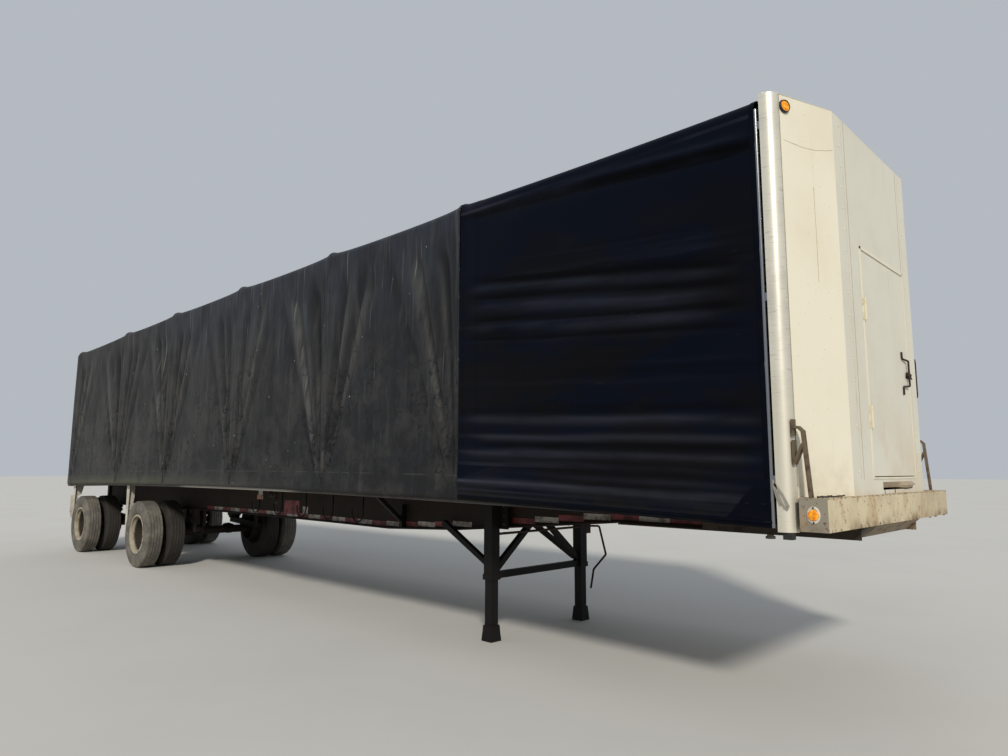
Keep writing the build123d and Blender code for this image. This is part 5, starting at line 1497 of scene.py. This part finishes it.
@dataclass
class HeadboardTrim:
    """Joint lines, the door opening's trim and the rivets of the headboard."""

    face: float = 7.285
    foot: float = 1.50
    head: float = 3.895
    seam: float = 0.57
    edge: float = 0.62
    # Where the side panels meet the posts, in x and y.
    post_joint: tuple = (7.1262, 1.2246)
    # The strips round the door opening: their lowest y and z, then their highest.
    door_trim: tuple = (
        *((-0.388, 1.5, -0.37, 3.073), (0.568, 1.5, 0.58, 3.073)),
        *((-0.388, 3.055, 0.58, 3.073), (-0.37, 1.5, 0.568, 1.512)),
    )
    rivet_line: float = 0.66
    rivet_count: int = 17
    rivet_step: float = 0.143

    def build(self) -> None:
        """Makes each piece of trim."""
        joints, pale, frame = Shell(), Shell(), Shell()
        for side in (-1, 1):
            for shell, y, half in ((joints, side * self.seam, 0.0018), (pale, side * self.edge, 0.0025)):
                shell.block((self.face, y - half, self.foot), (self.face + 0.0012, y + half, self.head))
            x, y = self.post_joint
            joints.tube([(x, side * y, self.foot - 0.04), (x, side * y, self.head)], 0.0021, 6)
        joints.finished("headboard_joint_lines", SEALANT)
        pale.finished("headboard_edge_lines", PALE_SEALANT)
        for y0, z0, y1, z1 in self.door_trim:
            frame.block((self.face, y0, z0), (self.face + 0.004, y1, z1))
        frame.finished("door_opening_trim", PANEL_PAINT)
        rivets = Fasteners("headboard_rivets", PANEL_PAINT, 0.006, 0.0035, 8)
        for y in (-self.rivet_line, self.rivet_line):
            for k in range(self.rivet_count):
                rivets.put((self.face + 0.001, y, self.foot + 0.05 + k * self.rivet_step), (1, 0, 0))
        rivets.build()


@dataclass
class FrontLamps:
    """Domed amber lenses, with white rims on the front rail's ends and dark ones on the side panels."""

    panel_lamp: tuple = (7.1391, 1.1841, 3.824)
    rail_lamp: tuple = (7.235, 1.2953, 1.305)
    rail_foot: tuple = (7.3, 1.226)
    stubs: tuple = (-1.16, -0.86, -0.71, 0.82, 0.98, 1.23)
    # The lens's section, as shares of its depth and its radius, with two raised prism rings.
    dome: tuple = (
        *((0.0, 0.0), (0.0, 1.0), (0.55, 1.0), (0.72, 0.93), (0.80, 0.80), (0.72, 0.76)),
        *((0.88, 0.62), (0.94, 0.48), (0.85, 0.44), (0.97, 0.30), (1.0, 0.12), (1.0, 0.0)),
    )

    @staticmethod
    def turned(shell: Shell, centre: tuple, facing: tuple, outline: list, squash: float = 1.0) -> None:
        """Adds a turned form that looks in any direction.

        Args:
            shell: what gets it.
            centre: the middle of its back.
            facing: the direction that it looks in.
            outline: pairs of distance from its back and radius.
            squash: its width as a share of its height.
        """
        form = Shell()
        form.lathe(outline, (0, 0, 0), 2)
        middle, out, up = Vector(centre), Vector(facing).normalized(), Vector((0, 0, 1))
        across = up.cross(out)
        shell.put([tuple(middle + squash * x * across + y * up + z * out) for x, y, z in form.vertices], form.faces)

    def rim(self, shell: Shell, centre: tuple, facing: tuple, sizes: tuple, squash: float = 1.0) -> None:
        """Adds a rim.

        Args:
            shell: what gets it.
            centre: the middle of its back.
            facing: the direction that it looks in.
            sizes: its inner radius, outer radius and depth.
            squash: its width as a share of its height.
        """
        inner, outer, depth = sizes
        outline = [(0, inner), (depth, inner), (depth, outer - 0.004), (depth * 0.5, outer), (0, outer), (0, inner)]
        self.turned(shell, centre, facing, outline, squash)

    def lens(self, shell: Shell, centre: tuple, facing: tuple, radius: float, depth: float) -> None:
        """Adds a domed lens."""
        self.turned(shell, centre, facing, [(depth * a, radius * r) for a, r in self.dome])

    def build(self) -> None:
        """Makes the lenses, the rims and their screws, and the rusty stubs below the rail."""
        white, dark, amber = Shell(), Shell(), Shell()
        ahead, aside, _ = SIDE_PANEL
        screws = Fasteners("lamp_screws", RUSTY_STEEL, 0.006, 0.004, 8)
        for side in (-1, 1):
            x, y, z = self.rail_lamp
            centre, facing = (x, side * y, z), (0, side, 0)
            self.rim(white, centre, facing, (0.0305, 0.049, 0.005), 0.78)
            self.lens(amber, centre, facing, 0.0305, 0.0155)
            for lift in (-0.0415, 0.0415):
                screws.put((x, side * (y + 0.006), z + lift), facing)
            x, y, z = self.panel_lamp
            centre, facing = (x, side * y, z), (ahead, -side * aside, 0)
            self.rim(dark, centre, facing, (0.0365, 0.0425, 0.0178))
            self.lens(amber, centre, facing, 0.0375, 0.0185)
        stubs = Fasteners("rail_edge_stubs", RUSTY_STEEL, 0.013, 0.024, 7)
        x, z = self.rail_foot
        for y in self.stubs:
            stubs.put((x, y, z), (0, 0, -1))
        stubs.build()
        white.finished("rail_lamp_rims", LAMP_BEZEL, smooth=True)
        dark.finished("panel_lamp_rims", DARK_TRIM, smooth=True)
        lenses = amber.finished("amber_lamp_lenses", AMBER_LENS, smooth=True)
        lenses.data.set_sharp_from_angle(angle=math.radians(35))
        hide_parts("marker_lamps")
        screws.build()


@dataclass
class LooseParts:
    """What hangs, rests or is bent out at the front, and the marks that a strap rubbed into the headboard."""

    # The webbing at the near post, as stations and heights: a loop, and a tail beside it.
    loop: tuple = (
        *((0.296, 1.482), (0.276, 1.455), (0.250, 1.418), (0.228, 1.378), (0.214, 1.350), (0.220, 1.335)),
        *((0.236, 1.340), (0.256, 1.372), (0.272, 1.410), (0.282, 1.448), (0.290, 1.482)),
    )
    tail: tuple = ((0.300, 1.50), (0.296, 1.46), (0.284, 1.41), (0.270, 1.37), (0.262, 1.35))
    # The cable ends on the rail: how far each reaches inwards, and its station.
    cables: tuple = ((0.36, 0.03), (0.22, 0.055))
    # The sheet's lip at the foot cut, in x and z: bent in on the near side and curled out on the far side.
    bent_in: tuple = ((7.2845, 1.4798), (7.279, 1.470), (7.272, 1.456), (7.265, 1.442))
    curled_out: tuple = ((7.2856, 1.4798), (7.299, 1.470), (7.310, 1.456))
    lip: tuple = (7.300, 1.437)
    sill_parts: tuple = ((-0.1985, -0.178), (-0.160, 0.045), (0.065, 0.4685))
    # The grab rod on the left side panel, in x and z.
    rod: tuple = ((7.268, 2.43), (7.279, 2.425), (7.282, 2.40), (7.282, 2.15), (7.279, 2.125), (7.268, 2.12))
    # Half of the section of the pin that keeps the handle, and the wire through it.
    pin: tuple = ((0.016, 0.0004), (0.013, 0.010), (0.005, 0.0155))
    wire: tuple = ((7.302, 0.47, 2.268), (7.300, 0.55, 2.272), (7.300, 0.60, 2.248))
    # The strap marks on the near side panel, as stations and heights.
    marks: tuple = (
        ((0.180, 3.603), (0.156, 3.595), (0.126, 3.587), (0.089, 3.592), (0.050, 3.614), (0.034, 3.628)),
        ((0.100, 3.339), (0.0995, 3.22), (0.099, 3.0), (0.0995, 2.72)),
    )

    def build(self) -> None:
        """Makes each loose part."""
        self.straps()
        self.foot_cut()
        rod, pin, marks = Shell(), Shell(), Shell()
        rod.tube([(x, 0.80, z) for x, z in self.rod], 0.005)
        rod.finished("side_panel_grab_rod", RUSTY_STEEL, smooth=True)
        pin.lathe([*((-a, r) for a, r in self.pin), *reversed(self.pin)], (7.2985, 0.548, 2.272), 0, 16)
        pin.tube(self.wire, 0.005, 8)
        pin.finished("handle_keeper", RUSTY_STEEL, "door", smooth=True)
        for mark in self.marks:
            path = [(along(s) + 0.0006, -0.765 - (s - 0.03) * 0.4597 / 0.16, z) for s, z in mark]
            marks.ribbon(path, SIDE_PANEL, 0.0028, 0.0008)
        marks.finished("headboard_strap_marks", STRAP_MARK)

    def straps(self) -> None:
        """Makes the webbing at the near post and the cable ends on the rail."""
        strap, cable = Shell(), Shell()
        for y, line in ((-1.3085, self.loop), (-1.3062, self.tail)):
            strap.ribbon([(along(s), y, z) for s, z in line], (0, -1, 0), 0.013, 0.0025)
        strap.finished("post_strap_loop", WEBBING)
        for reach, start in self.cables:
            run = []
            for t in np.linspace(0, 1, 14):
                x, z = along(start + 0.012 * math.sin(9 * t)), 1.4055 + 0.004 * math.sin(14 * t) ** 2
                run.append((x, -1.285 + reach * t, z))
            cable.tube(run, 0.0045, 8)
        cable.finished("rail_top_cables", DARK_TRIM, smooth=True)

    def foot_cut(self) -> None:
        """Makes the sill below the cut in the headboard's foot, and the flap of sheet that curls out of the cut."""
        flap, sill, rings = Shell(), Shell(), []
        ys = np.linspace(-0.197, 0.467, 40)
        for y, curl, lift in zip(ys, fade(ys, 0.13, 0.27), 0.02 * fade(ys, 0.36, 0.467)):
            outward = (*self.curled_out, (self.lip[0], self.lip[1] + lift))
            line = [(a[0] + (b[0] - a[0]) * curl, a[1] + (b[1] - a[1]) * curl) for a, b in zip(self.bent_in, outward)]
            back = [(x - 0.0025, z - 0.001) for x, z in reversed(line)]
            rings.append([(x, y, z) for x, z in line + back])
        flap.sweep(rings)
        for low, high in self.sill_parts:
            sill.block((7.2835, low, 1.4015), (7.2852, high, 1.4285))
        sill.finished("foot_cut_sill", CENTRE_PAINT)
        flap.finished("foot_cut_flap", BENT_SHEET)


@dataclass
class FramePlates:
    """Blank plates on the right beam, tape on the bumper and buckles on the curtain's straps."""

    beam_face: float = -0.5242
    # Each plate: its first and last station, its foot and its head.
    red_plate: tuple = (7.03, 7.42, 0.960, 1.140)
    white_plate: tuple = (6.81, 6.94, 0.980, 1.072)
    bumper_face: float = -7.3098
    tape_start: float = -1.12
    tape_block: float = 0.28
    tape_count: int = 8
    buckle_bars: tuple = (1.475, 1.512, 1.55)

    def build(self) -> None:
        """Makes the plates, the tape and the buckles."""
        red, white, buckles = Shell(), Shell(), Shell()
        for shell, (first, last, low, high) in ((red, self.red_plate), (white, self.white_plate)):
            shell.block((along(last), self.beam_face - 0.002, low), (along(first), self.beam_face, high))
        for k in range(self.tape_count):
            y = self.tape_start + k * self.tape_block
            shell = white if k % 2 else red
            shell.block((self.bumper_face - 0.0014, y, 0.475), (self.bumper_face, y + self.tape_block, 0.525))
        red.finished("red_plates_and_tape", TAPE_RED)
        white.finished("white_plates_and_tape", TAPE_WHITE)
        for y in RearCurtain.strap_places:
            for y0, y1 in ((y - 0.034, y - 0.024), (y + 0.024, y + 0.034)):
                buckles.block((-7.3105, y0, 1.47), (-7.2985, y1, 1.56), 0.002)
            for z in self.buckle_bars:
                buckles.tube([(-7.3055, y - 0.03, z), (-7.3055, y + 0.03, z)], 0.004, 8)
        buckles.finished("rear_curtain_buckles", LATCH_STEEL)


@dataclass
class FlapBrackets:
    """Pale plates that face forward beside the mud flap arms, each bolted to its arm."""

    stations: tuple = (11.38, 14.41)
    thickness: float = 0.005
    bolt_line: float = 1.195
    bolt_heights: tuple = (1.19, 1.13, 0.98, 0.86)
    # The outlines of the plates, in y and z.
    front_plate: tuple = ((1.125, 1.262), (1.2215, 1.262), (1.2215, 0.62), (1.19, 0.62), (1.15, 0.92), (1.125, 1.08))
    rear_plate: tuple = (
        *((1.062, 1.236), (1.2215, 1.236), (1.2215, 0.60), (1.19, 0.60)),
        *((1.175, 0.80), (1.16, 1.02), (1.106, 1.05)),
    )
    outer_flange: tuple = ((1.2305, 1.05), (1.288, 1.03), (1.288, 0.72), (1.262, 0.60), (1.2305, 0.60))

    def build(self) -> None:
        """Makes the plates and their bolts."""
        plates = Shell()
        bolts = Fasteners("flap_bracket_bolts", RUSTY_STEEL, 0.010, 0.008)
        for station, forms in zip(self.stations, ((self.front_plate,), (self.rear_plate, self.outer_flange))):
            x = along(station) + 0.012
            for side in (-1, 1):
                for form in forms:
                    plates.sweep([[(x + lead, side * y, z) for y, z in form] for lead in (0.0, self.thickness)])
                for z in self.bolt_heights:
                    bolts.put((x + self.thickness + 0.002, side * self.bolt_line, z), (1, 0, 0))
        plates.finished("flap_bracket_plates", BRACKET_PAINT)
        bolts.build()


@dataclass
class UnderParts:
    """Small parts of the running gear and landing gear: bolts, valve stems, hub cap screws and the winch's strap."""

    leg_x: float = 4.025
    bolt_face: float = 0.612
    bolt_leads: tuple = (-0.115, 0.115)
    bolt_heights: tuple = (1.212, 1.132, 1.052, 0.972)
    cap_circle: float = 0.05
    cap_face: float = 1.1065
    cap_screws: int = 6
    # The valve stem's line, as distances from the trailer's middle and, sloping up to the front, from the axle.
    stem: tuple = ((1.02, 0.205), (1.06, 0.222), (1.10, 0.226), (1.13, 0.226))
    stem_slope: float = 0.7071
    # The winch's drum, the section of the strap that is wound on it, and the strap's loose end.
    drum: tuple = (0.835, -1.19, 1.2488)
    wound: tuple = ((-0.041, 0.0242), (-0.041, 0.037), (0.041, 0.037), (0.041, 0.0242), (-0.041, 0.0242))
    loose_end: tuple = ((0.835, -1.155, 1.2488), (0.835, -1.150, 1.20), (0.850, -1.158, 1.14))

    def build(self) -> None:
        """Makes each of them."""
        bolts = Fasteners("leg_plate_bolts", RUSTY_STEEL, 0.013, 0.010)
        for side in (-1, 1):
            for lead in self.bolt_leads:
                for z in self.bolt_heights:
                    bolts.put((self.leg_x + lead, side * self.bolt_face, z), (0, side, 0))
        bolts.build()
        for wheel, x, sign in WHEELS:
            screws = Fasteners(f"hub_cap_screws_{wheel}", RUSTY_STEEL, 0.006, 0.005, body=f"wheel_{wheel}")
            screws.ring((x, sign * self.cap_face, WHEEL_HEIGHT), self.cap_circle, self.cap_screws)
            screws.build()
            stem, share = Shell(), self.stem_slope
            stem.tube([(x + share * r, sign * y, WHEEL_HEIGHT + share * r) for y, r in self.stem], 0.0042, 8)
            stem.finished(f"valve_stem_{wheel}", BARE_STEEL, f"wheel_{wheel}", smooth=True)
        wrap = Shell()
        wrap.lathe(self.wound, self.drum, 0, 28)
        wrap.ribbon(self.loose_end, (0, 1, 0), 0.075, 0.003)
        wrap.finished("winch_strap", OLD_WEBBING)


# The studio


def direction(azimuth: float, height: float) -> Vector:
    """The unit vector that points to an azimuth and a height, both in radians."""
    return Vector((math.cos(height) * math.cos(azimuth), math.cos(height) * math.sin(azimuth), math.sin(height)))


@dataclass
class Studio:
    """The pale floor, the soft light and the camera. Angles are in degrees."""

    camera_place: tuple = (8.807, -5.402, 1.553)
    yaw: float = 134.313
    pitch: float = 7.42
    roll: float = 0.177
    lens: float = 25.216
    sun_azimuth: float = -44
    sun_height: float = 33
    reach: float = 160

    def build(self) -> None:
        """Sets up the camera, the light, the background and the floor."""
        scene = bpy.context.scene
        yaw, pitch, roll = (math.radians(a) for a in (self.yaw, self.pitch, self.roll))
        ahead, right = direction(yaw, pitch), Vector((math.sin(yaw), -math.cos(yaw), 0))
        up = right.cross(ahead)
        right, up = math.cos(roll) * right + math.sin(roll) * up, math.cos(roll) * up - math.sin(roll) * right
        data = bpy.data.cameras.new("camera")
        data.lens, data.sensor_width, data.sensor_fit, data.clip_end = self.lens, 36, "HORIZONTAL", 500
        scene.camera = placed("camera", data)
        turned = Matrix((right, up, -ahead)).transposed().to_4x4()
        scene.camera.matrix_world = Matrix.Translation(self.camera_place) @ turned
        sun = bpy.data.lights.new("key", "SUN")
        sun.energy, sun.angle, sun.color = 2.6, math.radians(7), (1.0, 0.95, 0.86)
        towards = direction(math.radians(self.sun_azimuth), math.radians(self.sun_height))
        placed("key", sun).rotation_euler = towards.to_track_quat("Z", "Y").to_euler()
        scene.world = bpy.data.worlds.new("studio")
        scene.world.use_nodes = True
        tree = scene.world.node_tree
        tree.nodes.clear()
        sky = add(tree, "ShaderNodeBackground", {"Color": linear("#dfe6ee"), "Strength": 0.62})
        add(tree, "ShaderNodeOutputWorld", links={"Surface": sky.outputs[0]})
        mesh, r = bpy.data.meshes.new("floor"), self.reach
        mesh.from_pydata([(-r, -r, 0), (r, -r, 0), (r, r, 0), (-r, r, 0)], [], [(0, 1, 2, 3)])
        mottled = (Layer("#c2c0bb", 2600, 0.4, 0.7, 0.5),)
        mesh.materials.append(Finish("matt_studio_floor", "#c9c7c2", 0.9, "frame_paint", layers=mottled).material())
        placed("floor", mesh)
        view = scene.view_settings
        view.view_transform, view.look, view.exposure = "Standard", "None", 0.0


def dress_frame(nodes: dict) -> None:
    """Gives every CAD node that stays its finish.

    Args:
        nodes: the frame's objects by node name.
    """
    for finish, names in CARRIED_OVER.items():
        for name in names:
            mesh = nodes[name].data
            if not mesh.materials:
                mesh.materials.append(None)
            for k in range(len(mesh.materials)):
                mesh.materials[k] = finish.material()
            for slot in nodes[name].material_slots:
                slot.material = finish.material()


def main() -> None:
    """Builds the scene's pieces in order and reports each one."""
    logging.basicConfig(level=logging.INFO, format="%(message)s")
    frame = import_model()
    Studio().build()
    dress_frame(frame["nodes"])
    log.info("finishes: %d", len(CARRIED_OVER))
    covers = (OldCover(), NewCover(), RearCurtain())
    gear = (Tyres(), WheelNuts(), FlapBrackets(), UnderParts())
    trim = (ReflectiveTape(), HeadboardTrim(), FrontLamps(), LooseParts(), FramePlates())
    for part in covers + gear + trim:
        part.build()
        log.info("built %s", type(part).__name__)


if __name__ == "__main__":
    main()
